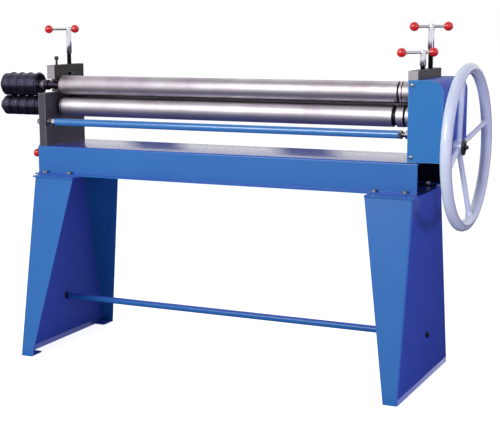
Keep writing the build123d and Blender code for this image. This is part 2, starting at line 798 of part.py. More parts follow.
with BuildPart() as rear_blocks:
    for x in (left_frame_x, right_frame_x):
        with BuildSketch(z_plane(x, rear_roll_y, rear_block_bottom)):
            Rectangle(frame_t + 2 * slide_gap, block_w)
        extrude(amount=rear_block_top - rear_block_bottom)
        for end in (-1, 1):
            cheek_x = x + end * (frame_t / 2 + slide_gap + cheek_t / 2)
            with BuildSketch(z_plane(cheek_x, rear_roll_y, rear_block_bottom)):
                Rectangle(cheek_t, cheek_w)
            extrude(amount=rear_block_top - rear_block_bottom)
        with BuildSketch(x_plane(x - frame_t, rear_roll_y, rear_z)):
            Circle(journal_r + running_fit)
        extrude(amount=2 * frame_t, mode=Mode.SUBTRACT)
save(rear_blocks.part, "rear_blocks")


# ---- adjusting screws with sliding bars ----
def adjusting_screw(name, x, y, block_top, collar_rise, top_rise, bar_drop, bar_turn, bar_shift):
    """A screw, its post, and a bar that slides through the post; rises are above the top bar."""
    collar_z = bar_top + collar_rise
    top_z = bar_top + top_rise
    bar_z = top_z - bar_drop
    with BuildPart() as screw:
        with BuildSketch(z_plane(x, y, block_top)):
            Circle(screw_r)
        extrude(amount=collar_z - block_top)
    save(screw.part, name + "_screw")

    across = Plane(origin=(x, y, bar_z), x_dir=(0, 0, 1),
                   z_dir=(math.cos(math.radians(bar_turn)), math.sin(math.radians(bar_turn)), 0))
    with BuildPart() as post:
        with BuildSketch(z_plane(x, y, collar_z)):
            Circle(handle_post_r)
        extrude(amount=top_z - collar_z)
        fillet(post.edges().group_by(Axis.Z)[-1], post_rounding)
        with BuildSketch(across):
            Circle(handle_bar_r + running_fit)
        extrude(amount=2 * handle_post_r, both=True, mode=Mode.SUBTRACT)
    save(post.part, name + "_post")

    centre = across.offset(bar_shift)
    half = handle_span / 2
    bar_start = centre.offset(-half - handle_bar_end)
    bar_length = handle_span + 2 * handle_bar_end
    with BuildPart() as bar:
        with BuildSketch(bar_start):
            Circle(handle_bar_r)
        extrude(amount=bar_length)
    save(bar.part, name + "_bar")

    with BuildPart() as balls:
        for end in (-1, 1):
            with Locations(centre.offset(end * half)):
                Sphere(handle_ball_r)
        with BuildSketch(bar_start):
            Circle(handle_bar_r + running_fit)
        extrude(amount=bar_length, mode=Mode.SUBTRACT)
    save(balls.part, name + "_balls")


adjusting_screw("rear_left", left_frame_x, rear_roll_y, rear_block_top,
                collar_rise=43.0, top_rise=145.0, bar_drop=8.0, bar_turn=65.0, bar_shift=-29.5)
adjusting_screw("rear_right", right_frame_x, rear_roll_y, rear_block_top,
                collar_rise=66.0, top_rise=152.0, bar_drop=9.0, bar_turn=32.0, bar_shift=0.0)
adjusting_screw("front_right", right_frame_x, roll_y, upper_block_top,
                collar_rise=12.0, top_rise=66.0, bar_drop=8.0, bar_turn=44.0, bar_shift=-20.5)

with BuildPart() as front_left_screw:
    with BuildSketch(z_plane(left_frame_x, roll_y, upper_block_top)):
        Circle(screw_r)
    extrude(amount=bar_top - upper_block_top)
    with BuildSketch(z_plane(left_frame_x, roll_y, bar_top)):
        Circle(plain_screw_tip_r)
    extrude(amount=plain_head_bottom - bar_top)
    add(hex_prism(z_plane(left_frame_x, roll_y, plain_head_bottom), plain_head_t, plain_head_t))
save(front_left_screw.part, "front_left_screw")

# ---- handwheel ----
cap_right = hub_right + cap_t
shaft_left_end = right_inner - 2.0
with BuildPart() as handwheel_shaft:
    with BuildSketch(x_plane(shaft_left_end, roll_y, wheel_z)):
        Circle(wheel_shaft_r)
    extrude(amount=cap_right - shaft_left_end)
    with BuildSketch(x_plane(cap_right, roll_y, wheel_z)):
        Circle(shaft_tip_r)
    extrude(amount=shaft_right - cap_right)
save(handwheel_shaft.part, "handwheel_shaft")

with BuildPart() as handwheel_cap:
    with BuildSketch(x_plane(hub_right, roll_y, wheel_z)):
        Circle(cap_r)
        Circle(wheel_shaft_r, mode=Mode.SUBTRACT)
    extrude(amount=cap_t)
save(handwheel_cap.part, "handwheel_cap")

with BuildPart() as handwheel_rim:
    with BuildSketch(Plane(origin=(wheel_x, roll_y, wheel_z), x_dir=(1, 0, 0), z_dir=(0, -1, 0))):
        with Locations((0, wheel_ring_r)):
            Circle(wheel_tube_r)
    revolve(axis=Axis((wheel_x, roll_y, wheel_z), (1, 0, 0)))
save(handwheel_rim.part, "handwheel_rim")

# four spokes cone out from the hub to the rim
spoke_root = (852.0, 15.0)
spoke_tip = (wheel_x - 2.0, wheel_ring_r - 4.0)
spoke_rise = math.atan2(spoke_tip[0] - spoke_root[0], spoke_tip[1] - spoke_root[1])
spoke_length = math.hypot(spoke_tip[0] - spoke_root[0], spoke_tip[1] - spoke_root[1])
with BuildPart() as handwheel_spokes:
    for index in range(4):
        angle = math.radians(wheel_turn + 90.0 * index)
        outward = (math.sin(spoke_rise), math.cos(spoke_rise) * math.cos(angle),
                   math.cos(spoke_rise) * math.sin(angle))
        foot = (spoke_root[0], roll_y + spoke_root[1] * math.cos(angle),
                wheel_z + spoke_root[1] * math.sin(angle))
        with BuildSketch(Plane(origin=foot, z_dir=outward)):
            Circle(spoke_r)
        extrude(amount=spoke_length)
    with BuildSketch(x_plane(hub_left, roll_y, wheel_z)):
        Circle(hub_r)
    extrude(amount=hub_right - hub_left)
    with BuildSketch(x_plane(hub_left, roll_y, wheel_z)):
        Circle(wheel_shaft_r)
    extrude(amount=hub_right - hub_left, mode=Mode.SUBTRACT)
    add(handwheel_rim.part, mode=Mode.SUBTRACT)
save(handwheel_spokes.part, "handwheel_spokes")

# ---- latch lever at the left frame ----
latch_hub_left = left_outer - latch_hub_gap - latch_hub_t
lever_root = (left_outer - latch_rod_inset, latch_y, latch_z)
lever_run = tuple(latch_ball[i] - lever_root[i] for i in range(3))
lever_length = math.sqrt(sum(v * v for v in lever_run))
lever_plane = Plane(origin=lever_root, z_dir=lever_run)
with BuildPart() as release_lever:
    with BuildSketch(x_plane(latch_hub_left, latch_y, latch_z)):
        Circle(latch_hub_r)
    extrude(amount=latch_hub_t)
    with BuildSketch(x_plane(latch_hub_left, latch_y, latch_z)):
        Circle(latch_pin_r)
    extrude(amount=left_outer + latch_pin_reach - latch_hub_left)
    with BuildSketch(lever_plane):
        Circle(latch_rod_r)
    extrude(amount=lever_length + handle_bar_end)
save(release_lever.part, "release_lever")

with BuildPart() as release_lever_ball:
    with Locations(Location(latch_ball, (0, 0, 90))):
        Sphere(handle_ball_r)
    with BuildSketch(lever_plane):
        Circle(latch_rod_r + running_fit)
    extrude(amount=lever_length + handle_bar_end, mode=Mode.SUBTRACT)
save(release_lever_ball.part, "release_lever_ball")
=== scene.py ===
import bpy
import bmesh
import math
from mathutils import Matrix, Vector


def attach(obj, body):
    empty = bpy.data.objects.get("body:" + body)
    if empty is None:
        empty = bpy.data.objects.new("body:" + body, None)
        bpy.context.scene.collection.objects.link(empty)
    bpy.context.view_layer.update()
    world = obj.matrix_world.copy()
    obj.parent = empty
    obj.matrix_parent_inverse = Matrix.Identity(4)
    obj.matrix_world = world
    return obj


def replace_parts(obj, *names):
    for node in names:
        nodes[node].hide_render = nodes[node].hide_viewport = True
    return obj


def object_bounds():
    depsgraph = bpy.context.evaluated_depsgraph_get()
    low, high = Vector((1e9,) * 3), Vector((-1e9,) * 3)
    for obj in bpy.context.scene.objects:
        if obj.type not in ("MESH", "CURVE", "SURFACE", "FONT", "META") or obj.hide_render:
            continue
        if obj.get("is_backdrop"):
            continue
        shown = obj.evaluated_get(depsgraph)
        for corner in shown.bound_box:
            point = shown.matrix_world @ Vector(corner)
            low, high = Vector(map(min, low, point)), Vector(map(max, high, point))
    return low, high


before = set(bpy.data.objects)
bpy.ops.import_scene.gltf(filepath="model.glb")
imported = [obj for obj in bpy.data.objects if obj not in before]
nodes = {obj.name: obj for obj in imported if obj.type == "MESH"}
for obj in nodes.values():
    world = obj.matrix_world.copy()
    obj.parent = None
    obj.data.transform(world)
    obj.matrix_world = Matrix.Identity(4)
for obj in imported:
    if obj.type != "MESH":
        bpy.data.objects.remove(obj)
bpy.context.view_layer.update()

MM = 0.001

# ---- sizes repeated from the part, in millimetres ----
ROLL_Y, LOWER_Z, UPPER_Z, REAR_Y, REAR_Z = 5.0, 934.0, 1016.0, 96.0, 972.0
WHEEL_X, WHEEL_Z = 880.0, 836.0
LEFT_FRAME, RIGHT_FRAME = -750.0, 720.0
STAY_Y, STAY_Z = -85.0, 880.0
LEG_ROD_Y, LEG_ROD_Z = 22.0, 168.0
LEG_X, LEG_TOP_DEPTH, LEG_FOOT_DEPTH, STAND_HEIGHT = 750.0, 169.0, 303.0, 680.0
LEG_SHEET, LEG_SIDE_TOP = 5.0, 674.0
FLANGE_REACH_FOOT, FLANGE_REACH_TOP = 700.0, 579.0
ANCHOR_X, ANCHOR_Y, ANCHOR_R = 718.0, 268.0, 6.5
TAB_LENGTH, TAB_INNER_X, TAB_OUTER_X = 65.0, 701.0, 745.5
BEAM_LEFT, BEAM_RIGHT, BEAM_SHEET = -773.0, 742.0, 5.0
ROLL_R, JOURNAL_R, BEAD_SHAFT_R, COLLAR_R = 37.5, 15.5, 14.0, 20.0
ROLL_LEFT, ROLL_RIGHT, SHAFT_END = -723.0, 692.0, -1011.8
BEAD_FACE, BEAD_WIDTH, BEAD_PITCH, BEAD_COUNT = -827.0, 40.0, 40.2, 4
END_NUT_X = -987.8
SCREW_R, SCREW_CORE, SCREW_PITCH, SCREW_DEPTH = 9.0, 7.7, 2.5, 1.2
BAR_R, BALL_R, BALL_REACH = 5.0, 16.0, 60.0
FRONT_SCREW_FOOT, REAR_SCREW_FOOT = 1039.0, 1052.0
LEVER_X, LEVER_Y, LEVER_Z = -779.0, -30.0, 850.0
LEVER_ARM = (-50.0, 0.0, -100.0)


# ---- shader groups ----
def shader_group(name, inputs, outputs):
    """A shader node group with named sockets: (name, kind, default) for inputs."""
    group = bpy.data.node_groups.new(name, "ShaderNodeTree")
    for label, kind, value in inputs:
        socket = group.interface.new_socket(label, in_out="INPUT", socket_type=kind)
        if value is not None:
            socket.default_value = value
    for label, kind in outputs:
        group.interface.new_socket(label, in_out="OUTPUT", socket_type=kind)
    inside = group.nodes.new("NodeGroupInput")
    outside = group.nodes.new("NodeGroupOutput")
    return group, inside, outside


def add_node(tree, kind, **values):
    node = tree.nodes.new(kind)
    for key, value in values.items():
        setattr(node, key, value)
    return node


def maths(tree, operation, a, b=None, clamp=False):
    node = add_node(tree, "ShaderNodeMath", operation=operation, use_clamp=clamp)
    for index, value in enumerate((a, b)):
        if value is None:
            continue
        if isinstance(value, (int, float)):
            node.inputs[index].default_value = value
        else:
            tree.links.new(value, node.inputs[index])
    return node.outputs[0]


def make_mottle():
    """Soft cloudy variation, 0 to 1, at a scale given in blotches per metre."""
    group, inside, outside = shader_group(
        "mottle", [("Scale", "NodeSocketFloat", 8.0), ("Contrast", "NodeSocketFloat", 1.0)],
        [("Value", "NodeSocketFloat")])
    where = add_node(group, "ShaderNodeTexCoord")
    noise = add_node(group, "ShaderNodeTexNoise")
    noise.inputs["Detail"].default_value = 5.0
    noise.inputs["Roughness"].default_value = 0.6
    group.links.new(where.outputs["Object"], noise.inputs["Vector"])
    group.links.new(inside.outputs["Scale"], noise.inputs["Scale"])
    centred = maths(group, "SUBTRACT", noise.outputs[0], 0.5)
    spread = maths(group, "MULTIPLY", centred, inside.outputs["Contrast"])
    group.links.new(maths(group, "ADD", spread, 0.5, clamp=True), outside.inputs["Value"])
    return group


def make_grain():
    """Fine grain that can be stretched along an axis: tool marks or orange peel."""
    group, inside, outside = shader_group(
        "grain", [("Stretch", "NodeSocketVector", (1.0, 1.0, 1.0)),
                  ("Scale", "NodeSocketFloat", 400.0)],
        [("Value", "NodeSocketFloat")])
    where = add_node(group, "ShaderNodeTexCoord")
    scaled = add_node(group, "ShaderNodeVectorMath", operation="MULTIPLY")
    noise = add_node(group, "ShaderNodeTexNoise")
    noise.inputs["Detail"].default_value = 3.0
    group.links.new(where.outputs["Object"], scaled.inputs[0])
    group.links.new(inside.outputs["Stretch"], scaled.inputs[1])
    group.links.new(scaled.outputs[0], noise.inputs["Vector"])
    group.links.new(inside.outputs["Scale"], noise.inputs["Scale"])
    group.links.new(noise.outputs[0], outside.inputs["Value"])
    return group


def make_tint():
    """Mixes two colours by a mask, with a strength."""
    group, inside, outside = shader_group(
        "tint", [("Base", "NodeSocketColor", None), ("Other", "NodeSocketColor", None),
                 ("Mask", "NodeSocketFloat", 0.5), ("Strength", "NodeSocketFloat", 1.0)],
        [("Color", "NodeSocketColor")])
    amount = maths(group, "MULTIPLY", inside.outputs["Mask"], inside.outputs["Strength"],
                   clamp=True)
    mix = add_node(group, "ShaderNodeMix", data_type="RGBA")
    group.links.new(amount, mix.inputs[0])
    group.links.new(inside.outputs["Base"], mix.inputs[6])
    group.links.new(inside.outputs["Other"], mix.inputs[7])
    group.links.new(mix.outputs[2], outside.inputs["Color"])
    return group


def make_range():
    """Spreads a 0 to 1 value between a low and a high one."""
    group, inside, outside = shader_group(
        "spread", [("Value", "NodeSocketFloat", 0.5), ("Low", "NodeSocketFloat", 0.2),
                   ("High", "NodeSocketFloat", 0.4)],
        [("Value", "NodeSocketFloat")])
    rise = maths(group, "SUBTRACT", inside.outputs["High"], inside.outputs["Low"])
    part = maths(group, "MULTIPLY", inside.outputs["Value"], rise)
    group.links.new(maths(group, "ADD", part, inside.outputs["Low"]), outside.inputs["Value"])
    return group


def make_edges():
    """1 along the outer and inner corners of a piece and 0 on its flats."""
    group, inside, outside = shader_group(
        "edges", [("Radius", "NodeSocketFloat", 0.003), ("Gain", "NodeSocketFloat", 9.0)],
        [("Mask", "NodeSocketFloat")])
    soft = add_node(group, "ShaderNodeBevel", samples=6)
    plain = add_node(group, "ShaderNodeNewGeometry")
    group.links.new(inside.outputs["Radius"], soft.inputs["Radius"])
    dot = add_node(group, "ShaderNodeVectorMath", operation="DOT_PRODUCT")
    group.links.new(soft.outputs[0], dot.inputs[0])
    group.links.new(plain.outputs["Normal"], dot.inputs[1])
    bend = maths(group, "SUBTRACT", 1.0, dot.outputs["Value"])
    group.links.new(maths(group, "MULTIPLY", bend, inside.outputs["Gain"], clamp=True),
                    outside.inputs["Mask"])
    return group


def make_shade_side_mask():
    """0 on faces toward the operator and 1 on faces turned well away: the mask for painted shade on turned-away
    faces.
    """
    group, inside, outside = shader_group("painted_shade_on_turned_faces", [("Start", "NodeSocketFloat", 0.85)],
                                          [("Mask", "NodeSocketFloat")])
    plain = add_node(group, "ShaderNodeNewGeometry")
    parts = add_node(group, "ShaderNodeSeparateXYZ")
    group.links.new(plain.outputs["True Normal"], parts.inputs[0])
    short = maths(group, "ADD", inside.outputs["Start"], parts.outputs["Y"])
    group.links.new(maths(group, "MULTIPLY", short, 4.0, clamp=True), outside.inputs["Mask"])
    return group


MOTTLE = make_mottle()
GRAIN = make_grain()
EDGES = make_edges()
SHADE_SIDE_MASK = make_shade_side_mask()
TINT = make_tint()
SPREAD = make_range()


def linear(r, g, b):
    """An 8-bit screen colour as a linear one."""
    def one(value):
        level = value / 255
        return level / 12.92 if level <= 0.04045 else ((level + 0.055) / 1.055) ** 2.4
    return (one(r), one(g), one(b), 1.0)


def place(tree, group, **values):
    """A group node with its inputs set to numbers, colours or links."""
    node = add_node(tree, "ShaderNodeGroup", node_tree=group)
    for key, value in values.items():
        if isinstance(value, bpy.types.NodeSocket):
            tree.links.new(value, node.inputs[key])
        else:
            node.inputs[key].default_value = value
    return node.outputs[0]


def new_material(name):
    material = bpy.data.materials.new(name)
    material.use_nodes = True
    shader = material.node_tree.nodes["Principled BSDF"]
    return material, material.node_tree, shader


def bumped(tree, shader, height, strength, distance):
    bump = add_node(tree, "ShaderNodeBump")
    bump.inputs["Strength"].default_value = strength
    bump.inputs["Distance"].default_value = distance
    tree.links.new(height, bump.inputs["Height"])
    tree.links.new(bump.outputs[0], shader.inputs["Normal"])


def enamel(name, colour, other, rough=(0.26, 0.38), coat=0.25, coat_rough=0.12, peel=0.06,
           gloss=0.25, edge=None, away=None):
    """Sprayed enamel: slight colour drift, orange peel and a clear gloss."""
    material, tree, shader = new_material(name)
    drift = place(tree, MOTTLE, Scale=3.0, Contrast=1.6)
    paint = place(tree, TINT, Base=colour, Other=other, Mask=drift, Strength=0.6)
    # Faces turned away from the front get painted shade in a deeper colour.
    if away:
        paint = place(tree, TINT, Base=paint, Other=away, Mask=place(tree, SHADE_SIDE_MASK), Strength=0.8)
    # A lighter colour along edges and folds: a painted highlight.
    if edge:
        paint = place(tree, TINT, Base=paint, Other=edge, Mask=place(tree, EDGES), Strength=0.7)
    tree.links.new(paint, shader.inputs["Base Color"])
    fine = place(tree, MOTTLE, Scale=22.0, Contrast=2.0)
    tree.links.new(place(tree, SPREAD, Value=fine, Low=rough[0], High=rough[1]),
                   shader.inputs["Roughness"])
    shader.inputs["Specular IOR Level"].default_value = gloss
    shader.inputs["Coat Weight"].default_value = coat
    shader.inputs["Coat Roughness"].default_value = coat_rough
    bumped(tree, shader, place(tree, GRAIN, Scale=420.0), peel, 0.0006)
    return material


def speckled(name, colour, other):
    """Hammered enamel: small glossy spots among a matt, darker ground."""
    material, tree, shader = new_material(name)
    spots = place(tree, SPREAD, Value=place(tree, MOTTLE, Scale=170.0, Contrast=5.0),
                  Low=0.3, High=1.0)
    drift = place(tree, MOTTLE, Scale=5.0, Contrast=2.0)
    tree.links.new(place(tree, TINT, Base=colour, Other=other, Mask=drift, Strength=0.8),
                   shader.inputs["Base Color"])
    tree.links.new(place(tree, SPREAD, Value=spots, Low=0.62, High=0.16),
                   shader.inputs["Roughness"])
    tree.links.new(place(tree, SPREAD, Value=spots, Low=0.05, High=1.0),
                   shader.inputs["Coat Weight"])
    tree.links.new(place(tree, SPREAD, Value=spots, Low=0.1, High=0.6),
                   shader.inputs["Specular IOR Level"])
    shader.inputs["Coat Roughness"].default_value = 0.1
    bumped(tree, shader, spots, 0.3, 0.001)
    return material


def metal(name, colour, other, rough, grain_stretch, grain_scale, grain_strength,
          mottle_scale=9.0, metallic=1.0, contrast=1.8, worn=None, narrow=None):
    """Machined or plated metal: tool marks along one way and a cloudy tint.

    worn is the colour of rubbed edges, and narrow the width in metres of gaps that get painted shade.
    """
    material, tree, shader = new_material(name)
    shader.inputs["Metallic"].default_value = metallic
    cloud = place(tree, MOTTLE, Scale=mottle_scale, Contrast=contrast)
    paint = place(tree, TINT, Base=colour, Other=other, Mask=cloud, Strength=0.7)
    if worn:
        rubbed = place(tree, MOTTLE, Scale=160.0, Contrast=4.0)
        edge = maths(tree, "MULTIPLY", place(tree, EDGES), rubbed)
        paint = place(tree, TINT, Base=paint, Other=worn, Mask=edge, Strength=1.0)
    # Narrow gaps and hollows go dark through an occlusion node: painted shade.
    if narrow:
        around = add_node(tree, "ShaderNodeAmbientOcclusion", samples=8)
        around.inputs["Distance"].default_value = narrow
        shut = maths(tree, "SUBTRACT", 0.62, around.outputs["AO"])
        paint = place(tree, TINT, Base=paint, Other=PAINTED_GAP_SHADE,
                      Mask=maths(tree, "MULTIPLY", shut, 3.5, clamp=True), Strength=0.96)
    tree.links.new(paint, shader.inputs["Base Color"])
    marks = place(tree, GRAIN, Stretch=grain_stretch, Scale=grain_scale)
    both = maths(tree, "MULTIPLY", maths(tree, "ADD", marks, cloud), 0.5)
    tree.links.new(place(tree, SPREAD, Value=both, Low=rough[0], High=rough[1]),
                   shader.inputs["Roughness"])
    bumped(tree, shader, marks, grain_strength, 0.0004)
    return material


ALONG_X, ALONG_Z = (1.0, 0.02, 0.02), (0.02, 0.02, 1.0)
UPRIGHT_MILLED, EVEN = (0.05, 0.05, 1.0), (1.0, 1.0, 1.0)
# The dark colour of painted shade in narrow gaps.
PAINTED_GAP_SHADE = linear(14, 8, 20)
# Painted shade: the deeper blue given to painted faces turned away from the front.
PAINTED_SHADE_BLUE = linear(74, 93, 202)
blue_enamel = enamel("blue_enamel", linear(44, 116, 188), linear(37, 104, 178), away=PAINTED_SHADE_BLUE)
# The cover's light edge colour is a painted highlight along its folds.
cover_enamel = enamel("cover_enamel", linear(60, 134, 198), linear(52, 122, 190), coat=0.0,
                      gloss=0.12, rough=(0.4, 0.5), edge=linear(150, 186, 232), away=PAINTED_SHADE_BLUE)
stay_enamel = enamel("stay_enamel", linear(60, 132, 200), linear(50, 118, 190), coat=0.9,
                     gloss=0.5)
# Painted shade: near-black for the beam's undersides and inner faces, which lie in shade.
painted_shade_inside = enamel("painted_shade_inside", linear(12, 16, 40), linear(8, 10, 26), coat=0.0, gloss=0.1,
                      rough=(0.5, 0.6))
bench_enamel = speckled("bench_enamel", linear(60, 72, 172), linear(44, 50, 150))
wheel_enamel = enamel("wheel_enamel", linear(228, 240, 254), linear(214, 230, 250),
                      rough=(0.22, 0.34), coat=0.8, coat_rough=0.12, gloss=0.5)
ground_steel = metal("ground_steel", linear(214, 210, 216), linear(160, 140, 156),
                     (0.42, 0.58), ALONG_X, 900.0, 0.08, mottle_scale=7.0, contrast=2.2,
                     narrow=0.04)
# Painted shade in the rolls' grooves: a dark steel for the groove faces.
painted_groove_shade = metal("painted_groove_shade", linear(40, 38, 42), linear(20, 18, 22), (0.4, 0.5),
                     ALONG_X, 900.0, 0.08, metallic=0.6)
journal_steel = metal("journal_steel", linear(78, 66, 84), linear(46, 38, 54), (0.24, 0.36),
                      ALONG_X, 900.0, 0.08, metallic=0.9)
end_steel = metal("end_steel", linear(84, 83, 92), linear(52, 48, 54), (0.45, 0.66),
                  EVEN, 260.0, 0.25, metallic=0.2, worn=linear(206, 204, 210))
bar_steel = metal("bar_steel", linear(62, 56, 56), linear(40, 36, 36), (0.42, 0.6),
                  UPRIGHT_MILLED, 420.0, 0.3, metallic=0.3, worn=linear(150, 146, 150))
faced_steel = metal("faced_steel", linear(176, 172, 176), linear(140, 134, 138), (0.4, 0.56),
                    UPRIGHT_MILLED, 420.0, 0.3, metallic=0.4)
black_oxide = metal("black_oxide", linear(66, 65, 86), linear(30, 29, 42), (0.2, 0.34),
                    ALONG_X, 700.0, 0.1, metallic=0.85, worn=linear(150, 150, 176))
gear_steel = metal("gear_steel", linear(132, 130, 134), linear(96, 92, 98), (0.3, 0.5),
                   ALONG_X, 500.0, 0.15)
screw_steel = metal("screw_steel", linear(48, 46, 50), linear(30, 28, 32), (0.34, 0.5),
                    EVEN, 500.0, 0.15, metallic=0.8)
plate_chrome = metal("plate_chrome", linear(224, 224, 230), linear(206, 206, 214), (0.08, 0.2),
                     ALONG_Z, 700.0, 0.04)
zinc_plate = metal("zinc_plate", linear(176, 176, 182), linear(138, 136, 144), (0.24, 0.4),
                   EVEN, 600.0, 0.12)
dark_bolt = metal("dark_bolt", linear(70, 70, 78), linear(44, 42, 48), (0.3, 0.46),
                  EVEN, 500.0, 0.15, metallic=0.85)
bearing_bronze = metal("bearing_bronze", linear(176, 128, 72), linear(148, 102, 56), (0.28, 0.42),
                       ALONG_X, 500.0, 0.1)


def moulded(name, colour, other, rough, coat):
    """Moulded plastic with a faint flow mark."""
    material, tree, shader = new_material(name)
    cloud = place(tree, MOTTLE, Scale=40.0, Contrast=1.2)
    tree.links.new(place(tree, TINT, Base=colour, Other=other, Mask=cloud, Strength=0.5),
                   shader.inputs["Base Color"])
    tree.links.new(place(tree, SPREAD, Value=cloud, Low=rough[0], High=rough[1]),
                   shader.inputs["Roughness"])
    shader.inputs["Coat Weight"].default_value = coat
    shader.inputs["Coat Roughness"].default_value = 0.05
    bumped(tree, shader, place(tree, GRAIN, Scale=900.0), 0.04, 0.0003)
    return material


red_knob = moulded("red_knob", linear(236, 30, 34), linear(214, 20, 26), (0.14, 0.22), 0.6)
black_cap = moulded("black_cap", linear(28, 28, 34), linear(20, 20, 24), (0.34, 0.46), 0.1)


# ---- mesh tools ----
def finish_piece(name, mesh, material, body, sharp=32.0):
    """Turns a mesh into a shaded piece that rides on a body."""
    mesh.materials.clear()
    mesh.materials.append(material)
    mesh.shade_smooth()
    mesh.set_sharp_from_angle(angle=math.radians(sharp))
    piece = bpy.data.objects.new(name, mesh)
    bpy.context.scene.collection.objects.link(piece)
    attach(piece, body)
    return piece


def from_bmesh(name, shape):
    bmesh.ops.recalc_face_normals(shape, faces=shape.faces)
    mesh = bpy.data.meshes.new(name)
    shape.to_mesh(mesh)
    shape.free()
    return mesh


def axes_at(origin, along):
    """A matrix whose z runs along a direction from an origin, in millimetres."""
    turn = Vector(along).normalized().to_track_quat("Z", "Y").to_matrix().to_4x4()
    return Matrix.Translation(Vector(origin) * MM) @ turn


def circle(count):
    """The cosine and sine of each of a number of even steps round a circle."""
    angles = [2 * math.pi * i / count for i in range(count)]
    return [(math.cos(a), math.sin(a)) for a in angles]


def join_rows(shape, low, high):
    """Skins two closed rows of vertices with quads."""
    count = len(low)
    for i in range(count):
        j = (i + 1) % count
        shape.faces.new((low[i], low[j], high[j], high[i]))


def place_rows(shape, rings, matrix=Matrix.Identity(4)):
    """Vertices for a stack of rings; each ring is a list of (x, y, z) in millimetres."""
    return [[shape.verts.new(matrix @ (Vector(p) * MM)) for p in ring] for ring in rings]


def add_rings(shape, rings, matrix, closed_ends=True):
    """Skins a stack of rings, and caps both ends if they are closed."""
    rows = place_rows(shape, rings, matrix)
    for low, high in zip(rows, rows[1:]):
        join_rows(shape, low, high)
    if closed_ends:
        shape.faces.new(list(reversed(rows[0])))
        shape.faces.new(rows[-1])
    return rows


def soften(profile, size):
    """Cuts each inner corner of an (along, radius) outline with a small flat."""
    out = [profile[0]]
    for before, here, after in zip(profile, profile[1:], profile[2:]):
        a = Vector(before) - Vector(here)
        b = Vector(after) - Vector(here)
        cut = min(size, a.length * 0.4, b.length * 0.4)
        if cut < 0.05:
            out.append(here)
            continue
        out.append(tuple(Vector(here) + a.normalized() * cut))
        out.append(tuple(Vector(here) + b.normalized() * cut))
    out.append(profile[-1])
    return out


def lathe(shape, profile, origin, along, segments=64, corner=0.6):
    """Turns an (along, radius) outline in millimetres about a line."""
    outline = soften(profile, corner) if corner else profile
    rings = [[(max(r, 0.01) * c, max(r, 0.01) * s, z) for c, s in circle(segments)]
             for z, r in outline]
    add_rings(shape, rings, axes_at(origin, along))


def hexagon_reach(angle, flats, turn):
    """Distance from a hexagon's middle to its rim at an angle."""
    local = (angle - turn + math.pi / 6) % (math.pi / 3) - math.pi / 6
    return flats / 2 / math.cos(local)


def hex_head(shape, flats, height, origin, along, turn=0.0, both=False, bore=0.0):
    """A hexagon with the curved chamfer that turning leaves on its corners."""
    matrix = axes_at(origin, along)
    count = 72
    angles = [2 * math.pi * i / count for i in range(count)]
    crown = flats / 2 * 0.96
    fall = math.tan(math.radians(30))

    def ring(radius_of, z_of):
        return [(radius_of(a) * math.cos(a), radius_of(a) * math.sin(a), z_of(a)) for a in angles]

    def reach(a):
        return hexagon_reach(a, flats, turn)

    def drop(a):
        return (reach(a) - crown) * fall

    inner = max(bore, 0.02)
    low = [ring(lambda a: inner, lambda a: 0.0)]
    if both:
        low += [ring(lambda a: crown, lambda a: 0.0), ring(reach, drop)]
    else:
        low += [ring(reach, lambda a: 0.0)]
    high = [ring(reach, lambda a: height - drop(a)), ring(lambda a: crown, lambda a: height),
            ring(lambda a: inner, lambda a: height)]
    rows = add_rings(shape, low + high, matrix, closed_ends=False)
    if bore:
        join_rows(shape, rows[-1], rows[0])
    else:
        shape.faces.new(list(reversed(rows[0])))
        shape.faces.new(rows[-1])


def thread(shape, radius, pitch, depth, length, origin, along, segments=24):
    """A screw thread: crest and root climb together round the screw."""
    matrix = axes_at(origin, along)
    count = int(length / pitch * 2) + 3
    rows = []
    for row in range(count):
        r = radius if row % 2 else radius - depth
        ring = []
        for i, (c, s) in enumerate(circle(segments)):
            z = min(max(row * pitch / 2 + pitch * (i / segments - 1.0), 0.0), length)
            ring.append((r * c, r * s, z))
        rows += place_rows(shape, [ring], matrix)
    last = segments - 1
    for k in range(count - 1):
        for i in range(last):
            shape.faces.new((rows[k][i], rows[k][i + 1], rows[k + 1][i + 1], rows[k + 1][i]))
        if k + 3 < count:
            shape.faces.new((rows[k][last], rows[k + 2][0], rows[k + 3][0], rows[k + 1][last]))


def rounded_path(points, radius, steps=5):
    """A flat path with each inner corner turned into an arc."""
    out = [Vector(points[0])]
    for before, here, after in zip(points, points[1:], points[2:]):
        here = Vector(here)
        a = (Vector(before) - here).normalized()
        b = (Vector(after) - here).normalized()
        half = a.angle(b) / 2
        reach = radius / math.tan(half)
        centre = here + (a + b).normalized() * (radius / math.sin(half))
        start = here + a * reach - centre
        sweep = math.pi - 2 * half
        sign = 1 if (-a).cross(b) > 0 else -1
        for step in range(steps + 1):
            angle = sign * sweep * step / steps
            c, s = math.cos(angle), math.sin(angle)
            out.append(centre + Vector((start.x * c - start.y * s, start.x * s + start.y * c)))
    out.append(Vector(points[-1]))
    return out


def strip_outline(path, thickness):
    """The closed outline of a bent sheet about its middle line."""
    left, right = [], []
    for i, point in enumerate(path):
        ahead = (path[min(i + 1, len(path) - 1)] - path[max(i - 1, 0)]).normalized()
        side = Vector((-ahead.y, ahead.x)) * (thickness / 2)
        left.append(point + side)
        right.append(point - side)
    return left + right[::-1]


def strip_caps(shape, row):
    """Closes one cut end of a bent sheet."""
    count = len(row)
    for i in range(count // 2 - 1):
        shape.faces.new((row[i], row[i + 1], row[count - 2 - i], row[count - 1 - i]))


# ---- folded sheet stand ----
def leg_half_depth(z):
    """Half the leg's depth, front to rear, at a height."""
    return LEG_FOOT_DEPTH + (LEG_TOP_DEPTH - LEG_FOOT_DEPTH) * z / STAND_HEIGHT


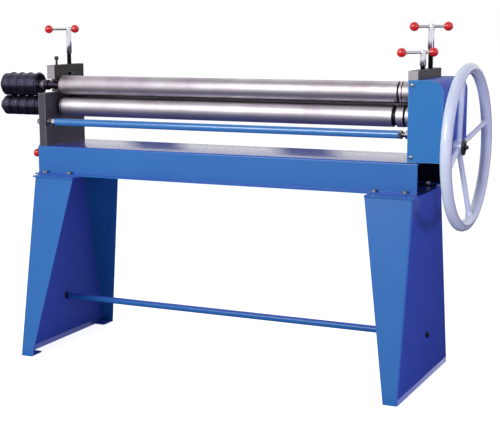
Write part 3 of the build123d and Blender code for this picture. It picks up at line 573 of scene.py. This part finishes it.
def fold_leg(side, name):
    """One leg: a leaning sheet with both edges folded in, and two foot tabs."""
    shape = bmesh.new()
    rings = []
    middle_x = LEG_X - LEG_SHEET / 2
    for z in (0.0, LEG_SIDE_TOP):
        depth = leg_half_depth(z) - LEG_SHEET / 2
        reach = FLANGE_REACH_FOOT + (FLANGE_REACH_TOP - FLANGE_REACH_FOOT) * z / LEG_SIDE_TOP
        path = rounded_path([(reach, -depth), (middle_x, -depth), (middle_x, depth),
                             (reach, depth)], 5.0)
        rings.append([(side * p.x, p.y, z) for p in strip_outline(path, LEG_SHEET)])
    rows = place_rows(shape, rings)
    join_rows(shape, *rows)
    for row in rows:
        strip_caps(shape, row)
    for end in (-1, 1):
        fold_tab(shape, side, end)
    return finish_piece(name, from_bmesh(name, shape), blue_enamel, "frame", 50.0)


def fold_tab(shape, side, end):
    """A foot tab on the floor with its anchor hole."""
    middle_y = end * (leg_half_depth(LEG_SHEET) - LEG_SHEET - TAB_LENGTH / 2)
    hole_y = end * ANCHOR_Y

    def to_edge(part, low, high, hole):
        """How far the tab's edge is along a direction with this part on one axis."""
        if abs(part) < 1e-6:
            return 1e9
        return abs(((high if part > 0 else low) - hole) / part)

    corners = []
    for c, s in circle(32):
        scale = min(to_edge(c, TAB_INNER_X, TAB_OUTER_X, ANCHOR_X),
                    to_edge(s, middle_y - TAB_LENGTH / 2, middle_y + TAB_LENGTH / 2, hole_y))
        corners.append((ANCHOR_X + c * scale, hole_y + s * scale, c, s))
    broken = 0.6
    rings = []
    for z, inner in ((0.0, False), (LEG_SHEET - broken, False), (LEG_SHEET, None),
                     (LEG_SHEET, True), (0.0, True)):
        ring = []
        for x, y, c, s in corners:
            if inner:
                x, y = ANCHOR_X + ANCHOR_R * c, hole_y + ANCHOR_R * s
            elif inner is None:
                x, y = x - broken * c, y - broken * s
            ring.append((side * x, y, z))
        rings.append(ring)
    add_rings(shape, rings + [rings[0]], Matrix.Identity(4), closed_ends=False)


def fold_beam():
    """The beam: one sheet folded into lips, rails and bench top."""
    shape = bmesh.new()
    path = rounded_path([(-134.0, 682.5), (-103.5, 682.5), (-103.5, 785.5), (187.5, 785.5),
                         (187.5, 682.5), (135.0, 682.5)], 4.5)
    outline = strip_outline(path, BEAM_SHEET)
    stations = (BEAM_LEFT, BEAM_LEFT + 0.6, BEAM_RIGHT - 0.6, BEAM_RIGHT)
    rows = add_rings(shape, [[(x, p.x, p.y) for p in outline] for x in stations],
                     Matrix.Identity(4), closed_ends=False)
    for row in (rows[0], rows[-1]):
        strip_caps(shape, row)
    mesh = from_bmesh("folded_beam", shape)
    piece = finish_piece("folded_beam", mesh, blue_enamel, "frame", 50.0)
    mesh.materials.append(bench_enamel)
    mesh.materials.append(painted_shade_inside)
    bench_over, lips_under, middle_y = 780 * MM, 700 * MM, 40 * MM
    # Undersides and inward-facing faces of the beam take the painted shade.
    for face in mesh.polygons:
        way, at = face.normal, face.center
        inward = -way.y * (at.y - middle_y) > 0.9 * abs(at.y - middle_y)
        if way.z > 0.9 and at.z > bench_over:
            face.material_index = 1
        elif way.z < -0.9 and at.z > lips_under or inward:
            face.material_index = 2
    return piece


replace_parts(fold_leg(-1, "left_folded_leg"), "left_leg_side", "left_leg_front_flange",
            "left_leg_rear_flange")
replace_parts(fold_leg(1, "right_folded_leg"), "right_leg_side", "right_leg_front_flange",
            "right_leg_rear_flange")
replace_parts(fold_beam(), "beam_front_rail", "beam_rear_rail", "bench_top")


# ---- rolls ----
def turned_piece(name, profile, y, z, material, body, segments=96, corner=0.6, sharp=32.0):
    """A piece turned about a line along X."""
    shape = bmesh.new()
    lathe(shape, profile, (0, y, z), (1, 0, 0), segments, corner)
    return finish_piece(name, from_bmesh(name, shape), material, body, sharp)


def shade_roll(piece, y, z, journal_from=ROLL_LEFT):
    """Darkens a roll's grooves with painted shade, and its left journal from a point on."""
    mesh = piece.data
    mesh.materials.append(painted_groove_shade)
    mesh.materials.append(journal_steel)
    for face in mesh.polygons:
        radius = math.hypot(face.center.y - y * MM, face.center.z - z * MM) / MM
        x = face.center.x / MM
        if ROLL_LEFT < x < ROLL_RIGHT - 2.0 and radius < ROLL_R - 0.2:
            face.material_index = 1
        elif journal_from < x < ROLL_LEFT + 0.5:
            face.material_index = 2
    return piece


def roll_body(first, grooves):
    """The outline of a roll between its journals, with its grooves cut in."""
    points = [(first, JOURNAL_R), (ROLL_LEFT, JOURNAL_R), (ROLL_LEFT, ROLL_R - 2.0),
              (ROLL_LEFT + 2.0, ROLL_R)]
    for start, end, radius in grooves:
        points += [(start, ROLL_R), (start, radius), (end, radius), (end, ROLL_R)]
    return points + [(ROLL_RIGHT - 1.5, ROLL_R), (ROLL_RIGHT, ROLL_R - 1.5),
                     (ROLL_RIGHT, JOURNAL_R)]


BEAD_SHAFT = [(SHAFT_END, 0), (SHAFT_END, BEAD_SHAFT_R - 1.4), (SHAFT_END + 1.4, BEAD_SHAFT_R)]


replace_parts(shade_roll(turned_piece(
    "ground_lower_roll",
    BEAD_SHAFT + [(-768.0, BEAD_SHAFT_R), (-768.0, JOURNAL_R)]
    + roll_body(-766.0, ((-716.0, -713.5, 35.5), (624.0, 638.0, 30.5), (664.0, 671.0, 31.5)))
    + [(806.0, JOURNAL_R), (806.0, 0)],
    ROLL_Y, LOWER_Z, ground_steel, "lower_roll"), ROLL_Y, LOWER_Z), "lower_roll")
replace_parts(shade_roll(turned_piece(
    "ground_upper_roll",
    BEAD_SHAFT + [(BEAD_FACE, BEAD_SHAFT_R), (-803.0, COLLAR_R), (-786.0, COLLAR_R),
                  (-786.0, JOURNAL_R)]
    + roll_body(-784.0, ((641.0, 647.0, 34.0), (656.0, 658.5, 33.0)))
    + [(768.0, JOURNAL_R), (768.0, 0)],
    ROLL_Y, UPPER_Z, ground_steel, "upper_roll"), ROLL_Y, UPPER_Z, -803.5),
    "upper_roll")
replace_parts(turned_piece(
    "ground_rear_roll",
    [(-769.0, 0), (-769.0, JOURNAL_R)] + roll_body(-767.0, ())
    + [(739.0, JOURNAL_R), (739.0, 0)],
    REAR_Y, REAR_Z, ground_steel, "rear_roll"), "rear_roll")


def bead_rolls(name, z, plain, crest, half, body, spacer):
    """Forming rolls on a bead shaft, each with a rim, a ridge or groove and faced ends."""
    shape = bmesh.new()
    plain += 0.4
    bore, around, cut = BEAD_SHAFT_R, 72, 1.4
    for index in range(BEAD_COUNT):
        right = BEAD_FACE - index * BEAD_PITCH
        left, middle = right - BEAD_WIDTH, right - 6.0
        profile = [(left, bore), (left, plain - 12.0), (left + 1.2, plain - 11.0),
                   (left + 1.2, plain - 5.0), (left, plain - 4.0), (left, plain)]
        for ring in (9.0, 17.0, 22.0):
            start, end = left + ring, left + ring + 1.6
            profile += [(start, plain), (start, plain - cut), (end, plain - cut), (end, plain)]
        profile += [(middle - half - 2.0, plain), (middle - half, crest), (middle + half, crest),
                    (middle + half + 2.0, plain), (right, plain), (right, bore)]
        rings = [[(r * c, r * s, x) for c, s in circle(around)] for x, r in soften(profile, 0.8)]
        rows = add_rings(shape, rings, axes_at((0, ROLL_Y, z), (1, 0, 0)), closed_ends=False)
        join_rows(shape, rows[-1], rows[0])
    if spacer:
        left, right = BEAD_FACE + 0.2, -768.5
        profile = [(left, bore), (left, plain), (right, plain), (right, bore)]
        lathe(shape, profile, (0, ROLL_Y, z), (1, 0, 0), around, 0.8)
    return finish_piece(name, from_bmesh(name, shape), black_oxide, body)


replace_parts(bead_rolls("upper_forming_rolls", UPPER_Z, 43.0, 48.0, 2.0, "upper_roll", False),
            "upper_bead_rolls")
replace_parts(bead_rolls("lower_forming_rolls", LOWER_Z, 37.5, 32.5, 3.0, "lower_roll", True),
            "lower_bead_rolls")


# ---- nuts and bolts ----
def fastener_piece(name, build, material, body):
    """A small piece whose shape another function builds."""
    shape = bmesh.new()
    build(shape)
    return finish_piece(name, from_bmesh(name, shape), material, body, 28.0)


BEAM_BOLTS = [(x, y) for x in (-735.0, -627.0, 704.0, 596.0) for y in (-120.0, 150.0)]


def beam_bolt_heads(shape):
    """Flanged heads above the leg tops, and their shanks' ends below the nuts."""
    for x, y in BEAM_BOLTS:
        lathe(shape, [(0, 0), (0, 9.6), (0.8, 10.0), (2.0, 9.0), (2.0, 0)], (x, y, 685.0),
              (0, 0, 1), 32, 0.2)
        hex_head(shape, 17.0, 8.0, (x, y, 687.0), (0, 0, 1), turn=x * 0.37)
        thread(shape, 5.0, 1.5, 0.8, 18.0, (x, y, 661.8), (0, 0, 1), 16)


def beam_bolt_nuts(shape):
    for x, y in BEAM_BOLTS:
        hex_head(shape, 17.0, 8.0, (x, y, 666.0), (0, 0, 1), turn=x * 0.21, both=True, bore=5.0)


def rod_bolt_heads(shape):
    """Bolt heads outside the legs and lock nuts inside them."""
    for side in (-1, 1):
        hex_head(shape, 19.0, 8.0, (side * LEG_X, LEG_ROD_Y, LEG_ROD_Z), (side, 0, 0), turn=0.3)
        hex_head(shape, 27.0, 12.0, (side * (LEG_X - LEG_SHEET), LEG_ROD_Y, LEG_ROD_Z),
                 (-side, 0, 0), turn=0.2, both=True, bore=6.1)


def frame_bolt_heads(shape):
    for x in (LEFT_FRAME, RIGHT_FRAME):
        for y in (-70.0, 25.0, 145.0):
            hex_head(shape, 19.0, 8.0, (x, y, 783.0), (0, 0, -1), turn=y * 0.1)


def stay_lock_nuts(shape):
    for index, x in enumerate((-776.0, -735.0, -713.0, 671.0, 694.0, 735.0)):
        hex_head(shape, 27.0, 11.0, (x, STAY_Y, STAY_Z), (1, 0, 0), turn=index * 0.4, both=True,
                 bore=9.0)


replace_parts(fastener_piece("hex_beam_bolts", beam_bolt_heads, zinc_plate, "frame"),
            "beam_bolts")
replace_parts(fastener_piece("hex_beam_nuts", beam_bolt_nuts, zinc_plate, "frame"),
            "beam_nuts")
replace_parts(fastener_piece("hex_rod_bolts", rod_bolt_heads, dark_bolt, "frame"),
            "leg_rod_bolts")
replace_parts(fastener_piece("hex_frame_bolts", frame_bolt_heads, dark_bolt, "frame"),
            "frame_bolts")
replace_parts(fastener_piece("hex_stay_nuts", stay_lock_nuts, zinc_plate, "frame"),
            "stay_nuts")
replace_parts(fastener_piece("hex_upper_end_nut", lambda shape: hex_head(
    shape, 41.0, 18.0, (END_NUT_X, ROLL_Y, UPPER_Z), (-1, 0, 0), both=True, bore=BEAD_SHAFT_R),
    dark_bolt, "upper_roll"), "upper_end_nut")
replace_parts(fastener_piece("hex_lower_end_nut", lambda shape: hex_head(
    shape, 41.0, 18.0, (END_NUT_X, ROLL_Y, LOWER_Z), (-1, 0, 0), turn=0.4, both=True,
    bore=BEAD_SHAFT_R), dark_bolt, "lower_roll"), "lower_end_nut")


def cover_screw_heads(shape):
    """Pan heads with a cross recess."""
    for z in (807.0, 1047.0):
        matrix = axes_at((719.0, -106.0, z), (0, -1, 0))
        rings = []
        for height, r in ((0.0, 6.6), (0.6, 7.0), (1.8, 6.9), (3.2, 6.0), (3.8, 4.6), (4.0, 3.4),
                          (4.0, 2.2), (4.0, 1.0), (4.0, 0.05)):
            ring = []
            for c, s in circle(64):
                x, y = r * c, r * s
                cross = r < 4.7 and min(abs(x), abs(y)) < 0.75
                ring.append((x, y, height - (1.4 if cross else 0.0)))
            rings.append(ring)
        add_rings(shape, rings, matrix)


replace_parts(fastener_piece("pan_cover_screws", cover_screw_heads, zinc_plate, "frame"),
            "cover_screws")


# ---- stay and leg rod ----
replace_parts(turned_piece(
    "painted_stay", [(-702.0, 9.0), (-702.0, 14.0), (671.0, 14.0), (671.0, 9.0)],
    STAY_Y, STAY_Z, stay_enamel, "frame", 48, 1.2), "stay_tube")


def stay_bar(shape):
    """The stay's inner rod, threaded where it leaves the tube."""
    lathe(shape, [(-765.0, 0), (-765.0, 8.2), (735.0, 8.2), (735.0, 0)], (0, STAY_Y, STAY_Z),
          (1, 0, 0), 24, 0.3)
    for start, length in ((-783.0, 82.0), (670.0, 81.0)):
        thread(shape, 9.0, 2.0, 1.1, length, (start, STAY_Y, STAY_Z), (1, 0, 0))
        for x in (start, start + length):
            lathe(shape, [(-0.5, 0), (-0.5, 7.6), (0.5, 7.6), (0.5, 0)], (x, STAY_Y, STAY_Z),
                  (1, 0, 0), 24, 0.0)


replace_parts(fastener_piece("threaded_stay_rod", stay_bar, zinc_plate, "frame"), "stay_rod")
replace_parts(turned_piece(
    "painted_leg_rod", [(-733.0, 0), (-733.0, 12.5), (733.0, 12.5), (733.0, 0)],
    LEG_ROD_Y, LEG_ROD_Z, blue_enamel, "frame", 40, 0.8), "leg_rod")


# ---- adjusting screws ----
def flat_way(turn):
    """The level direction at a turn in degrees."""
    return Vector((math.cos(math.radians(turn)), math.sin(math.radians(turn)), 0))


def knob(shape, middle, way):
    """A red ball with a flat and a small shoulder where its rod goes in."""
    mouth, steps = 28.0, 24
    profile = [(-15.4, 5.05), (-15.4, 6.4), (-15.2, 7.2)]
    for step in range(1, steps):
        a = math.radians(mouth + (180.0 - mouth) * step / steps)
        profile.append((-BALL_R * math.cos(a), BALL_R * math.sin(a)))
    profile.append((BALL_R, 0.0))
    lathe(shape, profile, middle, way, 40, 0.0)


def screw_piece(name, x, y, bottom, top, body):
    """A threaded screw from its foot up to its collar."""
    length = top - bottom

    def build(shape):
        lathe(shape, [(0, 0), (0, SCREW_CORE), (length, SCREW_CORE), (length, 0)], (x, y, bottom),
              (0, 0, 1), 24, 0.0)
        thread(shape, SCREW_R, SCREW_PITCH, SCREW_DEPTH, length, (x, y, bottom), (0, 0, 1), 28)
    return fastener_piece(name, build, screw_steel, body)


def post_piece(name, x, y, bottom, top, bar_z, turn, body):
    """A plated post, rounded at its top, with a boss where the bar goes through."""
    rise = top - bottom

    def build(shape):
        lathe(shape, [(0, 0), (0, 10.0), (1.2, 11.0), (rise - 2.4, 11.0), (rise - 0.8, 10.2),
                      (rise, 8.6), (rise, 0)], (x, y, bottom), (0, 0, 1), 48, 0.4)
        way = flat_way(turn)
        for end in (-1, 1):
            start = Vector((x, y, bar_z)) + way * end * 9.4
            lathe(shape, [(0, 5.3), (0, 6.6), (1.2, 6.6), (1.7, 6.1), (1.7, 5.3)], start, way * end,
                  32, 0.2)
    return fastener_piece(name, build, plate_chrome, body)


def bar_pieces(name, x, y, z, turn, shift, body):
    """The sliding bar with its two red balls."""
    way = flat_way(turn)
    middle = Vector((x, y, z)) + way * shift
    half = BALL_REACH + 6.0

    def bar(shape):
        lathe(shape, [(0, 0), (0, BAR_R), (2 * half, BAR_R), (2 * half, 0)],
              middle - way * half, way, 24, 0.6)

    def balls(shape):
        for end in (-1, 1):
            knob(shape, middle + way * end * BALL_REACH, way * end)
    return (fastener_piece(name + "_plated_bar", bar, plate_chrome, body),
            fastener_piece(name + "_red_balls", balls, red_knob, body))


for label, x, y, low, collar, top, bar_z, turn, shift in (
        ("rear_left", LEFT_FRAME, REAR_Y, REAR_SCREW_FOOT, 1137.0, 1239.0, 1231.0, 65.0, -29.5),
        ("rear_right", RIGHT_FRAME, REAR_Y, REAR_SCREW_FOOT, 1160.0, 1246.0, 1237.0, 32.0, 0.0),
        ("front_right", RIGHT_FRAME, ROLL_Y, FRONT_SCREW_FOOT, 1106.0, 1160.0, 1152.0, 44.0,
         -20.5)):
    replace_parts(screw_piece(label + "_threaded_screw", x, y, low, collar, label + "_screw"),
                label + "_screw")
    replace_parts(post_piece(label + "_plated_post", x, y, collar, top, bar_z, turn,
                           label + "_screw"), label + "_post")
    bar, balls = bar_pieces(label, x, y, bar_z, turn, shift, label + "_bar")
    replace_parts(bar, label + "_bar")
    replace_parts(balls, label + "_balls")


def plain_screw(shape):
    """The left front screw, with a plain neck and head."""
    foot, threaded = (LEFT_FRAME, ROLL_Y, FRONT_SCREW_FOOT), 55.0
    lathe(shape, [(0, 0), (0, SCREW_CORE), (threaded, SCREW_CORE), (threaded, 4.5), (76.0, 4.5),
                  (76.0, 0)], foot, (0, 0, 1), 32, 0.4)
    thread(shape, SCREW_R, SCREW_PITCH, SCREW_DEPTH, threaded, foot, (0, 0, 1), 28)
    hex_head(shape, 14.0, 14.0, (LEFT_FRAME, ROLL_Y, 1113.0), (0, 0, 1), both=True)


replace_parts(fastener_piece("front_left_threaded_screw", plain_screw, dark_bolt, "front_left_screw"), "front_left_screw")


# ---- handwheel ----
def ring_tube(shape, ring_r, tube_r, centre, around=144, across=28):
    """A round tube bent into a full ring about the X axis."""
    x, y, z = centre
    section = [(tube_r * out, ring_r + tube_r * rise) for rise, out in circle(across)]
    rings = [[(x + out, y + r * c, z + r * s) for out, r in section] for c, s in circle(around)]
    rows = place_rows(shape, rings)
    for low, high in zip(rows, rows[1:] + rows[:1]):
        join_rows(shape, low, high)


def wheel_rim(shape):
    ring_tube(shape, 264.5, 19.0, (WHEEL_X, ROLL_Y, WHEEL_Z))


def wheel_spokes(shape):
    """Four round spokes with welds at the hub and at the rim, and the hub itself."""
    root, tip = Vector((852.0, 15.0)), Vector((878.0, 260.5))
    run = tip - root
    length = run.length
    for index in range(4):
        a = math.radians(15.0 + 90.0 * index)
        way = Vector((run.x, run.y * math.cos(a), run.y * math.sin(a)))
        foot = Vector((root.x, ROLL_Y + root.y * math.cos(a), WHEEL_Z + root.y * math.sin(a)))
        profile = [(0, 0), (0, 13.0), (10.0, 12.5), (13.0, 10.6), (16.0, 9.6), (21.0, 9.0),
                   (length - 26.0, 9.0), (length - 22.0, 9.5), (length - 19.0, 10.8),
                   (length - 16.0, 12.4), (length - 13.0, 13.0), (length - 8.0, 12.0),
                   (length - 8.0, 0)]
        lathe(shape, profile, foot, way, 28, 0.0)
    lathe(shape, [(-14.0, 12.5), (-14.0, 24.0), (-12.8, 25.0), (14.6, 25.0), (16.0, 23.6),
                  (16.0, 12.5)], (850.0, ROLL_Y, WHEEL_Z), (1, 0, 0), 48, 0.0)


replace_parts(fastener_piece("painted_wheel_rim", wheel_rim, wheel_enamel, "handwheel"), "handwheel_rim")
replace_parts(fastener_piece("painted_wheel_spokes", wheel_spokes, wheel_enamel, "handwheel"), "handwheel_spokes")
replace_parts(turned_piece(
    "domed_wheel_cap", [(866.0, 12.5), (866.0, 27.6), (868.0, 28.0), (870.6, 27.0), (872.0, 24.0),
                        (872.0, 12.5)],
    ROLL_Y, WHEEL_Z, black_cap, "handwheel", 48, 0.3), "handwheel_cap")
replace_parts(turned_piece(
    "wheel_axle", [(703.0, 0), (703.0, 12.5), (872.0, 12.5), (872.0, 7.0), (882.8, 7.0),
                   (884.0, 5.8), (884.0, 0)],
    ROLL_Y, WHEEL_Z, dark_bolt, "handwheel", 40, 0.5), "handwheel_shaft")


# ---- release lever ----
def lever_hub(shape):
    """The lever's hub on its pin, and its thin arm."""
    lathe(shape, [(0, 0), (0, 16.6), (1.4, 18.0), (19.6, 18.0), (21.0, 16.6), (21.0, 10.0),
                  (40.0, 10.0), (40.0, 0)], (LEVER_X - 8.0, LEVER_Y, LEVER_Z), (1, 0, 0), 48, 0.3)
    length = Vector(LEVER_ARM).length + 6.0
    lathe(shape, [(0, 0), (0, 6.6), (20.0, 6.2), (24.0, BAR_R), (length, BAR_R), (length, 0)],
          (LEVER_X, LEVER_Y, LEVER_Z), LEVER_ARM, 24, 0.4)


def lever_ball(shape):
    knob(shape, Vector((LEVER_X, LEVER_Y, LEVER_Z)) + Vector(LEVER_ARM), LEVER_ARM)


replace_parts(fastener_piece("turned_release_lever", lever_hub, dark_bolt, "release_lever"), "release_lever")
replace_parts(fastener_piece("red_lever_ball", lever_ball, red_knob, "release_lever"),
            "release_lever_ball")


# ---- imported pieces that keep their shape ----
def dress(node, material, bevel, front):
    """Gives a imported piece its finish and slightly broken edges."""
    piece = nodes[node]
    piece.data.materials.clear()
    piece.data.materials.append(material)
    if front:
        piece.data.materials.append(front)
    for face in piece.data.polygons:
        face.use_smooth = True
        if front and face.normal.y < -0.99:
            face.material_index = 1
    piece.data.set_sharp_from_angle(angle=math.radians(32.0))
    edge = piece.modifiers.new("broken_edges", "BEVEL")
    edge.width = bevel * MM
    edge.segments = 2
    edge.limit_method = "ANGLE"
    edge.angle_limit = math.radians(40.0)
    edge.harden_normals = True


for material, bevel, front, dressed in (
        (end_steel, 1.2, None, ("left_end_frame", "right_end_frame")),
        (bar_steel, 1.0, faced_steel, ("left_top_bar", "right_top_bar")),
        (blue_enamel, 1.0, None, ("left_leg_top", "right_leg_top")),
        (cover_enamel, 0.8, None, ("gear_cover",)),
        (gear_steel, 0.4, None, ("lower_roll_gear", "upper_roll_gear", "drive_gear",
                                 "handwheel_pinion")),
        (bar_steel, 0.8, None, ("upper_left_jaw", "upper_right_block", "rear_blocks")),
        (bearing_bronze, 0.4, None, ("frame_bushes", "upper_ball_bush"))):
    for node in dressed:
        dress(node, material, bevel, front)


# ---- studio ----
FLOOR_GLOW = 0.85
WORLD_LEVEL = 0.28
WORLD_TINT = (0.8, 0.78, 1.0, 1.0)


def seen_directly(tree):
    """1 for camera, glossy and transmission rays, which meet the plain white background."""
    path = add_node(tree, "ShaderNodeLightPath")
    straight = maths(tree, "MAXIMUM", path.outputs["Is Camera Ray"], path.outputs["Is Glossy Ray"])
    return maths(tree, "MAXIMUM", straight, path.outputs["Is Transmission Ray"])


def studio_floor():
    """A wide pale floor that keeps the machine's shadow."""
    bpy.ops.mesh.primitive_plane_add(size=60.0, location=(0, 0, -0.0005))
    floor = bpy.context.object
    floor.name = "studio_floor"
    material, tree, shader = new_material("pale_floor")
    shader.inputs["Base Color"].default_value = (0.8, 0.8, 0.82, 1.0)
    shader.inputs["Roughness"].default_value = 0.9
    shader.inputs["Specular IOR Level"].default_value = 0.1
    white = add_node(tree, "ShaderNodeEmission")
    white.inputs["Strength"].default_value = FLOOR_GLOW
    lit = add_node(tree, "ShaderNodeAddShader")
    tree.links.new(shader.outputs[0], lit.inputs[0])
    tree.links.new(white.outputs[0], lit.inputs[1])
    mix = add_node(tree, "ShaderNodeMixShader")
    tree.links.new(seen_directly(tree), mix.inputs[0])
    tree.links.new(shader.outputs[0], mix.inputs[1])
    tree.links.new(lit.outputs[0], mix.inputs[2])
    tree.links.new(mix.outputs[0], tree.nodes["Material Output"].inputs["Surface"])
    floor.data.materials.append(material)
    floor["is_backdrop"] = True


def studio_world():
    world = bpy.data.worlds.new("studio")
    bpy.context.scene.world = world
    world.use_nodes = True
    tree = world.node_tree
    tree.nodes.clear()
    out = add_node(tree, "ShaderNodeOutputWorld")
    dim = add_node(tree, "ShaderNodeBackground")
    dim.inputs["Color"].default_value = WORLD_TINT
    dim.inputs["Strength"].default_value = WORLD_LEVEL
    bright = add_node(tree, "ShaderNodeBackground")
    bright.inputs["Color"].default_value = (1.0, 1.0, 1.0, 1.0)
    mix = add_node(tree, "ShaderNodeMixShader")
    tree.links.new(seen_directly(tree), mix.inputs[0])
    tree.links.new(dim.outputs[0], mix.inputs[1])
    tree.links.new(bright.outputs[0], mix.inputs[2])
    tree.links.new(mix.outputs[0], out.inputs["Surface"])


def dark_flag(name, place_at, turn, size, colour=(0.004, 0.004, 0.005, 1.0), faded=False):
    """A dark card that only mirror-like rays meet; a faded one is soft at its two sides."""
    bpy.ops.mesh.primitive_plane_add(size=1.0, location=place_at, rotation=turn)
    flag = bpy.context.object
    flag.name = name
    flag.scale = (size[0], size[1], 1.0)
    material, tree, shader = new_material(name)
    shader.inputs["Base Color"].default_value = colour
    shader.inputs["Roughness"].default_value = 1.0
    shader.inputs["Specular IOR Level"].default_value = 0.0
    if faded:
        where = add_node(tree, "ShaderNodeTexCoord")
        across = add_node(tree, "ShaderNodeSeparateXYZ")
        tree.links.new(where.outputs["Generated"], across.inputs[0])
        away = maths(tree, "ABSOLUTE", maths(tree, "SUBTRACT", across.outputs["X"], 0.5))
        near = maths(tree, "MULTIPLY", maths(tree, "SUBTRACT", 0.5, away), 3.4, clamp=True)
        clear = add_node(tree, "ShaderNodeBsdfTransparent")
        mix = add_node(tree, "ShaderNodeMixShader")
        tree.links.new(near, mix.inputs[0])
        tree.links.new(clear.outputs[0], mix.inputs[1])
        tree.links.new(shader.outputs[0], mix.inputs[2])
        tree.links.new(mix.outputs[0], tree.nodes["Material Output"].inputs["Surface"])
    flag.data.materials.append(material)
    flag.visible_camera = False
    flag.visible_diffuse = False
    flag.visible_transmission = False
    flag.visible_shadow = False
    flag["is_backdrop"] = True


def soft_lamp(name, place_at, target, size, power, colour=(1.0, 1.0, 1.0), mirrored=True):
    data = bpy.data.lights.new(name, "AREA")
    data.shape = "RECTANGLE"
    data.size, data.size_y = size
    data.energy = power
    data.color = colour
    lamp = bpy.data.objects.new(name, data)
    lamp.location = place_at
    lamp.visible_glossy = mirrored
    lamp.rotation_euler = (Vector(target) - Vector(place_at)).to_track_quat("-Z", "Y").to_euler()
    bpy.context.scene.collection.objects.link(lamp)


studio_floor()
studio_world()
LEVEL, UPRIGHT = (0.0, 0.0, 0.0), (math.pi / 2, 0.0, 0.0)
dark_flag("low_flag", (0.0, -2.25, 0.02), LEVEL, (9.0, 5.3))
dark_flag("rear_flag", (0.0, 7.4, 0.02), LEVEL, (20.0, 14.0))
dark_flag("top_flag", (0.0, -0.4, 5.0), LEVEL, (7.0, 4.0))
for card, centre in (("left_card", -1.95), ("right_card", -0.89)):
    dark_flag(card, (centre, 3.0, 1.13), UPRIGHT, (0.52, 0.7),
              colour=(0.05, 0.09, 0.36, 1.0), faded=True)
soft_lamp("front_soft_light", (-1.2, -4.6, 3.2), (0, 0, 0.7), (3.0, 1.8), 172.0)
soft_lamp("top_soft_light", (0.2, 0.4, 4.2), (0, 0, 0.8), (3.0, 1.6), 14.0)
soft_lamp("right_soft_light", (6.0, -1.4, 1.2), (0, 0, 0.5), (1.4, 1.4), 74.0, (0.8, 0.64, 1.0),
          mirrored=False)

# ---- camera ----
camera = bpy.data.cameras.new("camera")
camera.sensor_fit = "HORIZONTAL"
camera.sensor_width = 36.0
camera.lens = 88.21
camera.shift_x = 0.0789
camera.shift_y = 0.0545
camera.clip_end = 200.0
eye = bpy.data.objects.new("camera", camera)
eye.matrix_world = (Matrix.Translation((1.9232, -4.0608, 1.2829)) @ Matrix.Rotation(0.4589, 4, "Z")
                    @ Matrix.Rotation(math.pi / 2 - 0.1811, 4, "X")
                    @ Matrix.Rotation(-0.0078, 4, "Z"))
bpy.context.scene.collection.objects.link(eye)
bpy.context.scene.camera = eye
bpy.context.scene.view_settings.view_transform = "Standard"

low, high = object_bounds()
